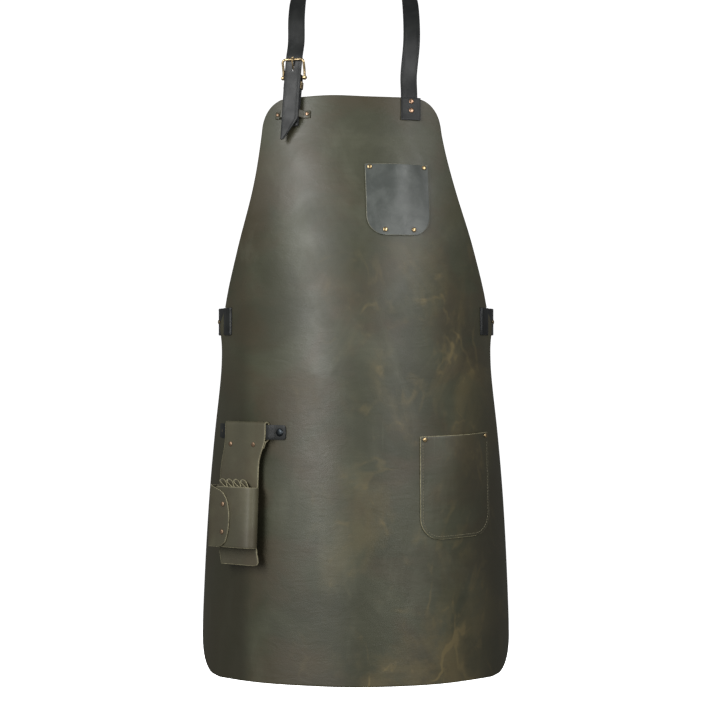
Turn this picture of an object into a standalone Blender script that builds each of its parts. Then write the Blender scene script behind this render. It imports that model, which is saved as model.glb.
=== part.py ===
"""Leather welding apron: a bent panel with a neck halter, a waist strap, two pockets and a tool holster.

Metres, +Z up. The wearer faces -Y, and +X is on the wearer's left. The origin is where the neck strap rests
behind the neck. On the panel a place is (along, height): along is measured on the leather from its middle
line, and lift is the distance outward from its outer face.
"""

import math

import bmesh
import bpy
from mathutils import Matrix, Vector

OBJECT_NAME = "welding_apron"
GAP = 0.0004

# Panel: one sheet bent round the wearer. Each list is (height, value), from the hem up.
PANEL_TOP = -0.187
PANEL_HEM = -1.0375
PANEL_THICK = 0.0024
TOP_CORNER = 0.046
HEM_CORNER = 0.058
HALF_WIDTH = [
    (-1.0375, 0.2925),
    (-0.945, 0.2904),
    (-0.796, 0.2799),
    (-0.677, 0.2687),
    (-0.590, 0.2550),
    (-0.514, 0.2505),
    (-0.412, 0.2013),
    (-0.325, 0.1627),
    (-0.240, 0.1405),
    (-0.187, 0.1380),
]
BEND_RADIUS = [(-1.0375, 0.250), (-0.796, 0.241), (-0.516, 0.216), (-0.325, 0.232), (-0.187, 0.235)]
FRONT_Y = [(-1.0375, -0.235), (-0.500, -0.235), (-0.340, -0.221), (-0.187, -0.1885)]
LEAN_X = [
    (-1.0375, 0.0),
    (-0.600, 0.0),
    (-0.412, -0.001),
    (-0.325, -0.003),
    (-0.240, -0.0065),
    (-0.187, -0.0065),
]

# Leather thicknesses and where a layer lies on the panel.
STRAP_THICK = 0.0024
LOOP_THICK = 0.0018
POCKET_THICK = 0.0020
HOLSTER_THICK = 0.0022
LAY = 0.0005

# Rivets
SHANK = 0.0014
HOLE = SHANK + GAP

# Neck halter
NECK_WIDTH = 0.0253
STRAP_ALONG_LEFT = -0.0890
STRAP_ALONG_RIGHT = 0.0880
STRAP_HEIGHT = -0.213
STRAP_TURN_LEFT = math.radians(0.6)
STRAP_TURN_RIGHT = math.radians(3.8)
PIN_ABOVE = 0.055
LEFT_WIDER = 1.08
BASE_LIFT = LAY + STRAP_THICK / 2

# Buckle, in its own frame: outward from the middle of the strap that carries it, and up towards its nose.
PIN_RADIUS = 0.0015
PIN_OUT = 0.0031
BILLET_OUT = 0.0089
WIRE_RADIUS = 0.0019
NOSE_OUT = 0.0123
NOSE_UP = 0.025
SIDE_ROOM = 0.0040
PRONG_RADIUS = 0.0011
PRONG_HOLE = (0.0034, 0.0068, 0.0161)

# Waist strap
WAIST_HEIGHT = -0.5125
WAIST_WIDTH = 0.040
SLIT_INNER = 0.2200
SLIT_OUTER = 0.2415
SLIT_WIDTH = 0.0047
LOOP_RIVET = 0.265
BEND = 0.0024
LAYER_A = -0.0041
LAYER_B = -0.0069
FRONT_LAYER = 0.0021
BACK_Y = 0.0222
WAIST_PIN_X = 0.014

# Pockets: (middle along, top, width, height, corner)
CHEST_POCKET = (0.0643, -0.2872, 0.0952, 0.1036, 0.028)
LOWER_POCKET = (0.1603, -0.6778, 0.1330, 0.1500, 0.033)
LOWER_TILT = math.tan(math.radians(1.7))
CHEST_BULGE = 0.0075
LOWER_BULGE = 0.0085

# Holster, in its own frame: x along the panel, outward from its face, z up from the hanger strap's middle.
HOLSTER_ALONG = -0.168
HOLSTER_HEIGHT = -0.6740
HOLSTER_TURN = math.radians(3.0)
HOLSTER_LEAN = math.radians(1.2)
HANGER_HIGH = 0.021
HANGER_OUT = 0.0084
HANGER_THICK = 0.0020
MAIN_OUT = 0.0109
RETURN_OUT = 0.0025
FOLD_TOP = 0.0150
BODY_LEFT = -0.0465
BODY_RIGHT = 0.0275
BODY_BOTTOM = -0.1935
LEFT_EDGE = [
    (-0.195, -0.042),
    (-0.165, -0.046),
    (-0.060, -0.0465),
    (-0.042, -0.0445),
    (-0.018, -0.040),
    (0.015, -0.040),
]
RIGHT_EDGE = [
    (-0.195, 0.034),
    (-0.168, 0.0275),
    (-0.060, 0.0275),
    (-0.040, 0.0285),
    (-0.012, 0.0375),
    (0.015, 0.0375),
]
POUCH_TOP = -0.0805
POUCH_BOTTOM = -0.168
FLAP_EDGE = [
    (-0.168, -0.0240),
    (-0.165, -0.0177),
    (-0.158, -0.0108),
    (-0.136, -0.0060),
    (-0.111, -0.0075),
    (-0.089, -0.0199),
    (-0.079, -0.0470),
]
HANGER_RIVETS_Z = -0.0187
RETURN_PATH = [
    (RETURN_OUT, 0.0),
    (RETURN_OUT, -0.0116),
    (0.0083, -0.0150),
    (0.0085, -0.0187),
    (0.0085, -0.0246),
]
LOOPS = 4


def smooth(points, at):
    """The value at a place on a smooth curve through (place, value) points, which rise in place."""
    last = len(points) - 1
    at = min(max(at, points[0][0]), points[last][0])
    i = max(k for k in range(last) if points[k][0] <= at)

    def slope(k):
        a, b = points[max(k - 1, 0)], points[min(k + 1, last)]
        return (b[1] - a[1]) / (b[0] - a[0])

    (x0, y0), (x1, y1) = points[i], points[i + 1]
    step = x1 - x0
    t = (at - x0) / step
    start = (2 * t**3 - 3 * t**2 + 1) * y0 + (t**3 - 2 * t**2 + t) * step * slope(i)
    end = (3 * t**2 - 2 * t**3) * y1 + (t**3 - t**2) * step * slope(i + 1)
    return start + end


def through(points, steps):
    """A smooth line through 3-D points, with that many steps between each two."""
    points = [Vector(p) for p in points]
    places = [0.0]
    for a, b in zip(points, points[1:]):
        places.append(places[-1] + (b - a).length)
    axes = [[(place, point[k]) for place, point in zip(places, points)] for k in range(3)]
    line = []
    for a, b in zip(places, places[1:]):
        line += [Vector([smooth(axis, a + (b - a) * k / steps) for axis in axes]) for k in range(steps)]
    return line + [points[-1]]


def arc(middle, radius, start, end, steps):
    """Points on a flat arc, with its angles in degrees."""
    angles = [math.radians(start + (end - start) * k / steps) for k in range(steps + 1)]
    return [(middle[0] + radius * math.cos(a), middle[1] + radius * math.sin(a)) for a in angles]


def on_panel(along, height, lift=0.0):
    """A point on the panel, lift outward from its outer face."""
    bend = smooth(BEND_RADIUS, height)
    angle = along / bend
    x = smooth(LEAN_X, height) + (bend + lift) * math.sin(angle)
    y = smooth(FRONT_Y, height) + bend - (bend + lift) * math.cos(angle)
    return Vector((x, y, height))


def panel_frame(along, height):
    """The frame at a place on the panel: x along the leather, y inward, z up the leather."""
    step = 0.002
    right = (on_panel(along + step, height) - on_panel(along - step, height)).normalized()
    up = on_panel(along, height + step) - on_panel(along, height - step)
    inward = up.cross(right).normalized()
    up = right.cross(inward)
    frame = Matrix((right, inward, up)).transposed().to_4x4()
    frame.translation = on_panel(along, height)
    return frame


def place(frame, x, out, z):
    """A point in a frame whose y axis points inward."""
    return frame @ Vector((x, -out, z))


def moved(frame, x, out, z):
    """The frame moved to one of its own points."""
    return frame @ Matrix.Translation((x, -out, z))


def half_width(height):
    """Half of the panel's flat width, with its round corners."""
    width = smooth(HALF_WIDTH, height)
    for end, radius in ((PANEL_HEM, HEM_CORNER), (PANEL_TOP, TOP_CORNER)):
        inside = radius - abs(height - end)
        if inside > 0:
            width -= radius - math.sqrt(max(radius**2 - inside**2, 0))
    return width


def rows_between(low, high, low_corner, high_corner, steps):
    """Heights of a sheet's rows, closer together round its corners."""
    turn = [math.pi / 2 * k / 6 for k in range(6)]
    bottom = [low + low_corner * (1 - math.cos(a)) for a in turn] if low_corner else []
    top = [high - high_corner * (1 - math.cos(a)) for a in reversed(turn)] if high_corner else []
    start, end = low + low_corner, high - high_corner
    middle = [start + (end - start) * k / steps for k in range(steps + 1)]
    return bottom + middle + top


def add_object(name, mesh, material=None, matrix=None, cutter=False):
    thing = bpy.data.objects.new(name, mesh)
    (cutters if cutter else parts).objects.link(thing)
    if matrix is not None:
        thing.matrix_world = matrix
    if material:
        mesh.materials.append(materials[material])
    if cutter:
        thing.hide_render = True
        thing.display_type = "WIRE"
    return thing


def sheet(name, columns, rows, where, thickness, offset, material=None, cutter=False):
    """A grid whose points where(u, v) gives, thickened. Its outer side is that of u crossed with v."""
    mesh = bpy.data.meshes.new(name)
    grid = bmesh.new()
    bmesh.ops.create_grid(grid, x_segments=columns, y_segments=rows, size=0.5)
    for vertex in grid.verts:
        vertex.co = where(vertex.co.x + 0.5, vertex.co.y + 0.5)
    grid.to_mesh(mesh)
    grid.free()
    thing = add_object(name, mesh, material, cutter=cutter)
    solid = thing.modifiers.new("thickness", "SOLIDIFY")
    solid.thickness = thickness
    solid.offset = offset
    solid.use_even_offset = True
    return thing


def ribbon(name, line, across, thickness, material=None, edges=None, width=NECK_WIDTH, cutter=False):
    """A strap along a line. across is the direction of its width, one for all points or one for each.

    edges(share) gives the two edges' distances from the line, at a share of its number of points.
    """
    last = len(line) - 1
    sides = []
    for k, point in enumerate(line):
        way = (line[min(k + 1, last)] - line[max(k - 1, 0)]).normalized()
        side = Vector(across[k] if isinstance(across, list) else across)
        sides.append((side - way * side.dot(way)).normalized())

    def where(u, v):
        k = round(v * last)
        low, high = edges(k / last) if edges else (-width / 2, width / 2)
        return line[k] + sides[k] * (low + (high - low) * u)

    return sheet(name, 1, last, where, thickness, 0.0, material, cutter)


def turned(name, profile, matrix, material, steps=12):
    """A turned piece round its own z axis. The profile runs down its outer side, as (radius, z) points."""
    mesh = bpy.data.meshes.new(name)
    mesh.from_pydata([(r, 0, z) for r, z in profile], [(k, k + 1) for k in range(len(profile) - 1)], [])
    thing = add_object(name, mesh, material, matrix)
    screw = thing.modifiers.new("turn", "SCREW")
    screw.steps = steps
    screw.render_steps = steps
    screw.use_merge_vertices = True
    screw.merge_threshold = 0.00001
    return thing


def outward(frame):
    """The frame turned so that its z axis points outward."""
    return frame @ Matrix.Rotation(math.pi / 2, 4, "X")


def rivet(name, frame, front, back, material, head=0.0036, dome=0.0013, cap=0.0040):
    """A rivet through layers with their outermost face at front and innermost at back."""
    top, under = front + GAP, back - GAP
    profile = [
        (0, top + dome),
        (head * 0.5, top + dome * 0.9),
        (head * 0.85, top + dome * 0.55),
        (head, top),
        (SHANK, top),
        (SHANK, under),
        (cap, under),
        (cap * 0.9, under - 0.0007),
        (0, under - 0.0009),
    ]
    return turned(name, profile, outward(frame), material)


def cutter(name, shapes):
    """One cutter made of rods and boxes. A rod is (frame, radius, length) along z, a box is (frame, size)."""
    mesh = bpy.data.meshes.new(name)
    form = bmesh.new()
    for shape in shapes:
        if len(shape) == 3:
            frame, radius, length = shape
            bmesh.ops.create_cone(
                form, cap_ends=True, segments=12, radius1=radius, radius2=radius, depth=length, matrix=frame
            )
        else:
            frame, size = shape
            bmesh.ops.create_cube(form, size=1.0, matrix=frame @ Matrix.Diagonal((*size, 1.0)))
    form.to_mesh(mesh)
    form.free()
    return add_object(name, mesh, cutter=True)


def combine(thing, other, operation):
    step = thing.modifiers.new(operation.lower(), "BOOLEAN")
    step.operation = operation
    step.object = other


def cut(thing, shapes):
    combine(thing, cutter(f"cut_{thing.name}", shapes), "DIFFERENCE")


def through_hole(frame, radius=HOLE, length=0.040):
    """A hole straight through the leather at the frame."""
    return (outward(frame), radius, length)


def wire(name, points, radius, material, matrix, sides=2):
    """A bent wire as a welded mesh."""
    curve = bpy.data.curves.new(name, "CURVE")
    curve.dimensions = "3D"
    curve.bevel_depth = radius
    curve.bevel_resolution = sides
    curve.use_fill_caps = True
    spline = curve.splines.new("POLY")
    spline.points.add(len(points) - 1)
    for point, at in zip(spline.points, points):
        point.co = (*at, 1)
    guide = bpy.data.objects.new(name + "_line", curve)
    bpy.context.scene.collection.objects.link(guide)
    bpy.context.view_layer.update()
    mesh = bpy.data.meshes.new_from_object(guide.evaluated_get(bpy.context.evaluated_depsgraph_get()))
    bpy.data.objects.remove(guide)
    form = bmesh.new()
    form.from_mesh(mesh)
    bmesh.ops.remove_doubles(form, verts=form.verts, dist=0.00001)
    form.to_mesh(mesh)
    form.free()
    mesh.name = name
    return add_object(name, mesh, material, matrix)


def rod_along_x(frame, x, out, z):
    """A frame whose z axis lies along the given frame's x axis, at one of its points."""
    return moved(frame, x, out, z) @ Matrix.Rotation(math.pi / 2, 4, "Y")


def box_piece(name, frame, size, material, bevel):
    mesh = bpy.data.meshes.new(name)
    form = bmesh.new()
    bmesh.ops.create_cube(form, size=1.0)
    for vertex in form.verts:
        vertex.co = Vector([a * b for a, b in zip(vertex.co, size)])
    form.to_mesh(mesh)
    form.free()
    thing = add_object(name, mesh, material, frame)
    edge = thing.modifiers.new("edges", "BEVEL")
    edge.width = bevel
    edge.segments = 2
    return thing


def fold_line(length, turn_up=0.0):
    """A strap's end folded round the buckle's pin, as (out, up) points: up the base, round, and back down."""
    base = [(0.0, -length), (0.0, -length / 2), (0.0, -0.012), (0.0, -0.004)]
    bow = arc((PIN_OUT, turn_up), PIN_OUT, 180, 0, 8)
    back = [(0.0058, -0.004), (0.0045, -0.008), (0.0034, -0.012), (0.0028, -0.016)]
    return base + bow + back


def buckle(prefix, frame, strap_width, material):
    """A buckle: U-shaped frame, pin and prong, with the pin at the frame's origin, PIN_OUT outward."""
    side = strap_width / 2 + SIDE_ROOM
    corner = 0.0045
    leg = [(PIN_OUT, 0.0), (0.0050, 0.008), (0.0088, 0.016), (0.0112, NOSE_UP - corner)]
    bend = [(math.cos(a), math.sin(a)) for a in (math.radians(k) for k in (22, 45, 68, 90))]
    half = [(side, -out, up) for out, up in leg]
    for across, along in bend:
        out = 0.0112 + (NOSE_OUT - 0.0112) * along
        half.append((side - corner + corner * across, -out, NOSE_UP - corner + corner * along))
    outline = half + [(-x, y, z) for x, y, z in reversed(half)]
    body = wire(f"{prefix}_buckle_frame", outline, WIRE_RADIUS, material, frame)
    for name, x in (("left", -side), ("right", side)):
        eye = cutter(f"{prefix}_eye_{name}", [(rod_along_x(frame, x, PIN_OUT, 0.0), 0.0033, 0.0036)])
        combine(body, eye, "UNION")
    cut(body, [(rod_along_x(frame, 0.0, PIN_OUT, 0.0), PIN_RADIUS + GAP, 2 * side + 0.02)])

    reach = side + 0.0018 + GAP
    profile = [
        (0, reach + 0.0013),
        (0.0020, reach + 0.0013),
        (0.0024, reach + 0.0008),
        (0.0024, reach),
        (PIN_RADIUS, reach),
    ]
    profile = profile + [(r, -z) for r, z in reversed(profile)]
    turned(f"{prefix}_buckle_pin", profile, rod_along_x(frame, 0.0, PIN_OUT, 0.0), material)

    prong = wire(
        f"{prefix}_buckle_prong",
        [
            (0, -0.0050, 0.0019),
            (0, -0.0048, 0.0045),
            (0, -0.0051, 0.0082),
            (0, -0.0086, 0.0126),
            (0, -0.0123, 0.0165),
            (0, -0.0145, 0.0197),
            (0, -0.0156, 0.0232),
            (0, -0.0156, 0.0273),
        ],
        PRONG_RADIUS,
        material,
        Matrix.Identity(4),
        sides=1,
    )
    hinge = moved(frame, 0.0, PIN_OUT, 0.0)
    prong.data.transform(Matrix.Translation((0, PIN_OUT, 0)))
    prong.matrix_world = hinge
    bpy.ops.mesh.primitive_torus_add(
        major_radius=0.0029, minor_radius=0.0009, major_segments=14, minor_segments=8
    )
    ring = bpy.context.object
    ring.name = f"{prefix}_prong_ring"
    ring.matrix_world = rod_along_x(frame, 0.0, PIN_OUT, 0.0)
    for home in ring.users_collection:
        home.objects.unlink(ring)
    cutters.objects.link(ring)
    ring.hide_render = True
    ring.display_type = "WIRE"
    combine(prong, ring, "UNION")


def prong_hole(frame):
    """The long hole in a billet that the prong passes through."""
    wide, low, high = PRONG_HOLE
    return (moved(frame, 0.0, BILLET_OUT, (low + high) / 2), (wide, 0.010, high - low))


def prong_slot(frame):
    """The slot in a folded strap end that the prong's ring turns in."""
    return (moved(frame, 0.0, PIN_OUT, -0.0015), (0.0052, 0.016, 0.015))


def keeper(name, frame, low_out, high_out, strap_width, height, wall, material):
    """A flat band round the strap, centred on the frame's z."""
    middle = moved(frame, 0.0, (low_out + high_out) / 2, 0.0)
    inside = (strap_width + 0.0012, high_out - low_out, height * 2)
    size = (inside[0] + 2 * wall, inside[1] + 2 * wall, height)
    band = box_piece(name, middle, size, material, wall * 0.45)
    cut(band, [(middle, inside)])
    return band


def make_panel(left, holster):
    """The apron's one sheet, with holes for its rivets and four slits for the waist strap."""
    rows = rows_between(PANEL_HEM, PANEL_TOP, HEM_CORNER, TOP_CORNER, 22)

    def where(u, v):
        height = rows[round(v * (len(rows) - 1))]
        return on_panel((2 * u - 1) * half_width(height), height)

    panel = sheet("apron_panel", 22, len(rows) - 1, where, PANEL_THICK, -1.0, "olive_leather")
    holes = [through_hole(frame) for frame in left + holster]
    holes += [through_hole(frame) for frame in patch_rivets()]
    holes += [through_hole(frame) for frame in pocket_rivets(CHEST_POCKET, 0.0, True)]
    holes += [through_hole(frame) for frame in pocket_rivets(LOWER_POCKET, LOWER_TILT, False)]
    for along in (SLIT_INNER, SLIT_OUTER, -SLIT_INNER, -SLIT_OUTER):
        holes.append((panel_frame(along, WAIST_HEIGHT), (SLIT_WIDTH, 0.012, WAIST_WIDTH + 0.0016)))
    cut(panel, holes)


def pocket_rows(pocket):
    middle, top, width, height, corner = pocket
    return rows_between(top - height, top, corner, 0.0, 5)


def pocket_lift(pocket, bulge, along, height):
    """How far a pocket's inner face stands off the panel: most at the middle of its mouth."""
    middle, top, width, tall, corner = pocket
    across = min(abs(along - middle) / (width / 2), 1.0)
    up = min(max((height - top + tall) / tall, 0.0), 1.0)
    return LAY + bulge * math.cos(across * math.pi / 2) ** 2 * (3 * up**2 - 2 * up**3)


def pocket_rivets(pocket, tilt, lower_too):
    """Frames of a pocket's rivets: two at its top corners and, on the chest pocket, two near its bottom."""
    middle, top, width, height, corner = pocket
    places = [(side * (width / 2 - 0.007), top - 0.0048) for side in (-1, 1)]
    if lower_too:
        places += [(side * 0.0213, top - height + 0.008) for side in (-1, 1)]
    return [panel_frame(middle + x, z + tilt * x) for x, z in places]


def make_pocket(name, pocket, tilt, bulge, material, lower_too):
    middle, top, width, height, corner = pocket
    rows = pocket_rows(pocket)

    def where(u, v):
        z = rows[round(v * (len(rows) - 1))]
        inside = corner - (z - top + height)
        half = width / 2
        if inside > 0:
            half -= corner - math.sqrt(max(corner**2 - inside**2, 0))
        along = middle + (2 * u - 1) * half
        return on_panel(along, z + tilt * (along - middle), pocket_lift(pocket, bulge, along, z))

    piece = sheet(name, 12, len(rows) - 1, where, POCKET_THICK, 1.0, material)
    frames = pocket_rivets(pocket, tilt, lower_too)
    cut(piece, [through_hole(frame) for frame in frames])
    names = ["top_left", "top_right", "bottom_left", "bottom_right"]
    for corner_name, frame in zip(names, frames):
        front = LAY + POCKET_THICK + 0.0007
        rivet(f"{name}_rivet_{corner_name}", frame, front, -PANEL_THICK - GAP, "brass", head=0.0034)


def patch_rivets():
    """The two rivets that hold the neck strap and its patch, one above the other."""
    return [panel_frame(STRAP_ALONG_RIGHT, PANEL_TOP - down) for down in (0.0065, 0.0200)]


def make_patch():
    """The patch in front of the panel over the strap's end."""
    wide, low, high = 0.030, PANEL_TOP - 0.034, PANEL_TOP - 0.0005

    def where(u, v):
        return on_panel(STRAP_ALONG_RIGHT + (u - 0.5) * wide, low + (high - low) * v, LAY)

    patch = sheet("neck_strap_patch", 3, 3, where, 0.0022, 1.0, "black_leather")
    cut(patch, [through_hole(frame) for frame in patch_rivets()])
    for name, frame in zip(("upper", "lower"), patch_rivets()):
        back = -PANEL_THICK - STRAP_THICK - 3 * GAP
        rivet(f"patch_rivet_{name}", frame, LAY + 0.0022 + 0.0002, back, "copper", head=0.0040)


def neck_line(left, right):
    """The neck strap's middle line and the direction of its outer edge, from behind the bib to its tip."""
    out = -PANEL_THICK - GAP - STRAP_THICK / 2 - 0.0002
    billet = BASE_LIFT + BILLET_OUT
    start = [place(right, 0.0, out, z) for z in (-0.009, 0.010, 0.035, 0.062)]
    shoulder = [
        ((0.0812, -0.1590, -0.105), (0.94, 0.30, -0.08)),
        ((0.0812, -0.1410, -0.064), (0.93, 0.20, -0.26)),
        ((0.0785, -0.1150, -0.030), (0.88, 0.10, -0.42)),
        ((0.0705, -0.0785, -0.006), (0.80, 0.14, -0.56)),
        ((0.0560, -0.0420, 0.002), (0.60, 0.26, -0.75)),
        ((0.0400, -0.0130, 0.000), (0.26, 0.14, -0.95)),
        ((0.0290, -0.0020, 0.000), (0.06, 0.02, -0.998)),
        ((0.0200, STRAP_THICK / 2, 0.0), (0.0, 0.0, -1.0)),
        ((0.0100, STRAP_THICK / 2, 0.0), (0.0, 0.0, -1.0)),
    ]
    points = start + [Vector(point) for point, _ in shoulder]
    edges = [right.col[0].to_3d()] * len(start) + [Vector(edge) for _, edge in shoulder]
    points += [Vector((-point[0] * LEFT_WIDER, point[1], point[2])) for point, _ in reversed(shoulder)]
    edges += [Vector((-edge[0], edge[1], edge[2])) for _, edge in reversed(shoulder)]
    down = [(0.0, 0.104), (0.0, 0.090), (0.0, 0.068), (0.0006, 0.040), (0.0016, 0.010), (0.0036, -0.0395)]
    points += [place(left, x, billet, z) for x, z in down]
    edges += [-left.col[0].to_3d()] * len(down)
    return points, edges


def make_neck_strap(left, right, buckle_frame):
    points, edges = neck_line(left, right)
    steps = 4
    line = through(points, steps)
    sides = []
    for a, b in zip(edges, edges[1:]):
        sides += [a.lerp(b, k / steps) for k in range(steps)]
    sides.append(edges[-1])
    whole = sum((b - a).length for a, b in zip(line, line[1:]))
    travelled = [0.0]
    for a, b in zip(line, line[1:]):
        travelled.append(travelled[-1] + (b - a).length)
    slant = 0.031

    def trimmed(share):
        """The tip is one slanted cut: its inner edge is shorter than its outer edge."""
        left_over = whole - travelled[round(share * (len(line) - 1))]
        inner = -NECK_WIDTH / 2
        if left_over < slant:
            inner += (NECK_WIDTH - 0.004) * (1 - left_over / slant)
        return inner, NECK_WIDTH / 2

    strap = ribbon("neck_strap", line, sides, STRAP_THICK, "black_leather", edges=trimmed)
    holes = [through_hole(frame) for frame in patch_rivets()]
    cut(strap, holes + [prong_hole(buckle_frame)])


def make_neck_anchor(left, buckle_frame):
    """The chape that carries the buckle, the keeper on it, and the strip that holds it to the bib."""
    tail = PIN_ABOVE + 0.018
    points = fold_line(tail) + [(0.0028, -0.030), (0.0028, -tail)]
    line = [place(buckle_frame, 0.0, out, up) for out, up in points]
    chape = ribbon("neck_chape", line, buckle_frame.col[0].to_3d(), STRAP_THICK, "black_leather")
    fixing = moved(left, 0.0, 0.0, -0.0115)
    cut(chape, [prong_slot(buckle_frame), through_hole(fixing)])
    rivet("neck_chape_rivet", fixing, BASE_LIFT + 0.0028 + STRAP_THICK / 2, -PANEL_THICK - GAP, "brass")

    band = moved(buckle_frame, 0.0, 0.0, -0.0122)
    keeper("neck_keeper", band, -0.0016, 0.0064, NECK_WIDTH, 0.0105, 0.0009, "antique_brass")

    half = LOOP_THICK / 2
    over = BASE_LIFT + 0.0028 + STRAP_THICK / 2 + GAP + half
    path = [on_panel(STRAP_ALONG_LEFT + x, STRAP_HEIGHT, LAY + half) for x in (-0.0255, -0.0185)]
    level = panel_frame(STRAP_ALONG_LEFT, STRAP_HEIGHT)
    path += [place(level, x, over, 0.0) for x in (-0.0140, 0.0, 0.0140)]
    path += [on_panel(STRAP_ALONG_LEFT + x, STRAP_HEIGHT, LAY + half) for x in (0.0190, 0.0245, 0.0290)]
    loop = ribbon("bib_loop", path, level.col[2].to_3d(), LOOP_THICK, "olive_leather", width=0.0110)
    frames = [panel_frame(STRAP_ALONG_LEFT + x, STRAP_HEIGHT) for x in (-0.0215, 0.0245)]
    cut(loop, [through_hole(frame) for frame in frames])
    for name, frame in zip(("left", "right"), frames):
        front = LAY + LOOP_THICK + GAP
        rivet(f"bib_loop_rivet_{name}", frame, front, -PANEL_THICK - GAP, "antique_brass", head=0.0029)
    return [fixing] + frames


def waist_loop():
    """The strap's end looped through both slits, as (along, lift) points from its inner end outward."""
    inner, outer = SLIT_INNER + BEND, SLIT_OUTER - BEND
    points = [(0.276, LAYER_B), (LOOP_RIVET, LAYER_B), (0.249, LAYER_B), (0.234, LAYER_B)]
    points += arc((inner, LAYER_B + BEND), BEND, 270, 180, 4)
    points += arc((inner, FRONT_LAYER - BEND), BEND, 180, 90, 4)
    points += [((inner + outer) / 2, FRONT_LAYER)]
    points += arc((outer, FRONT_LAYER - BEND), BEND, 90, 0, 4)
    points += arc((SLIT_OUTER + BEND, LAYER_A + BEND), BEND, 180, 270, 4)
    points += [(0.252, LAYER_A), (LOOP_RIVET, LAYER_A)]
    return points


def waist_side():
    """One side of the waist strap in plan, from its looped end to the straight stretch at the back."""
    loop = [on_panel(along, WAIST_HEIGHT, lift) for along, lift in waist_loop()]
    bow = [(0.2040, -0.0760), (0.2065, -0.050), (0.2020, -0.026), (0.187, -0.003)]
    bow += [(0.160, 0.0130), (0.125, 0.0205), (0.095, BACK_Y)]
    return loop + through([Vector((x, y, WAIST_HEIGHT)) for x, y in bow], 3)


def mirrored(line):
    middle = smooth(LEAN_X, WAIST_HEIGHT)
    return [Vector((2 * middle - p.x, p.y, p.z)) for p in line]


def make_waist():
    """The waist strap: two halves looped through the panel's slits, joined by a buckle at the back."""
    up = Vector((0, 0, 1))
    frame = Matrix(((0, 0, -1, WAIST_PIN_X), (0, -1, 0, BACK_Y), (-1, 0, 0, WAIST_HEIGHT), (0, 0, 0, 1)))
    side = waist_side()
    fold = fold_line(WAIST_PIN_X * 2) + [(0.0028, -0.021), (0.0028, -0.027)]
    line = side + [place(frame, 0.0, out, z) for out, z in fold]
    right = ribbon("waist_strap_right", line, up, STRAP_THICK, "black_leather", width=WAIST_WIDTH)
    fixing = moved(frame, 0.0, 0.0, -0.0215)
    loop_hole = panel_frame(LOOP_RIVET, WAIST_HEIGHT)
    cut(right, [prong_slot(frame), through_hole(fixing), through_hole(loop_hole)])
    rivet("waist_chape_rivet", fixing, 0.0028 + STRAP_THICK / 2, -STRAP_THICK / 2, "antique_brass")

    billet = [(0.0, 0.060), (0.0035, 0.048), (BILLET_OUT, 0.034), (BILLET_OUT, 0.0), (BILLET_OUT, -0.045)]
    billet += [(BILLET_OUT, -0.080), (BILLET_OUT, -0.0815 - 0.012), (BILLET_OUT, -0.1055)]
    line = mirrored(side) + [place(frame, 0.0, out, z) for out, z in billet]
    last = len(line) - 1

    def pointed(share):
        half = WAIST_WIDTH / 2
        if round(share * last) == last:
            half *= 0.12
        elif round(share * last) == last - 1:
            half *= 0.80
        return -half, half

    left = ribbon("waist_strap_left", line, up, STRAP_THICK, "black_leather", edges=pointed)
    loop_hole_left = panel_frame(-LOOP_RIVET, WAIST_HEIGHT)
    spare = [moved(frame, 0.0, BILLET_OUT, z) for z in (-0.035, -0.060, -0.085)]
    holes = [through_hole(hole, 0.0022, 0.008) for hole in spare]
    cut(left, holes + [prong_hole(frame), through_hole(loop_hole_left)])
    for name, hole in (("right", loop_hole), ("left", loop_hole_left)):
        front, back = LAYER_A + STRAP_THICK / 2, LAYER_B - STRAP_THICK / 2
        rivet(f"waist_loop_rivet_{name}", hole, front, back, "antique_brass")

    buckle("waist", frame, WAIST_WIDTH, "antique_brass")
    band = moved(frame, 0.0, 0.0, -0.040)
    keeper("waist_keeper", band, -0.0016, BILLET_OUT + 0.0016, WAIST_WIDTH, 0.010, 0.0014, "black_leather")


def holster_frames():
    """The holster's own frame, and the frames of the holes that the hanger strap needs in the panel."""
    home = panel_frame(HOLSTER_ALONG, HOLSTER_HEIGHT)
    home = home @ Matrix.Rotation(HOLSTER_TURN, 4, "Z")
    ends = [panel_frame(along, HOLSTER_HEIGHT) for along in (-0.2310, -0.1135)]
    return home, ends


def make_hanger(home, ends):
    """The strap that the holster hangs on, riveted at one end and closed with a press stud at the other."""
    lay = LAY + HANGER_THICK / 2
    flat = [(x, HANGER_OUT) for x in (-0.047, 0.0, 0.0420)]
    line = [on_panel(along, HOLSTER_HEIGHT, lay) for along in (-0.2420, -0.2310, -0.2245)]
    line += [place(home, x, out, 0.0) for x, out in flat]
    line += [on_panel(along, HOLSTER_HEIGHT, lay) for along in (-0.1215, -0.1135, -0.1080, -0.1055, -0.1040)]
    last = len(line) - 1

    def rounded(share):
        half = HANGER_HIGH / 2
        shrink = {last: 0.45, last - 1: 0.80}.get(round(share * last), 1.0)
        return -half * shrink, half * shrink

    up = home.col[2].to_3d()
    strap = ribbon("holster_hanger_strap", line, up, HANGER_THICK, "black_leather", edges=rounded)
    cut(strap, [through_hole(frame) for frame in ends])
    front, back = LAY + HANGER_THICK, -PANEL_THICK - GAP
    rivet("hanger_strap_rivet", ends[0], front, back, "antique_brass")
    rivet("hanger_snap", ends[1], front, back, "dark_metal", head=0.0060, dome=0.0018, cap=0.0055)


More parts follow.
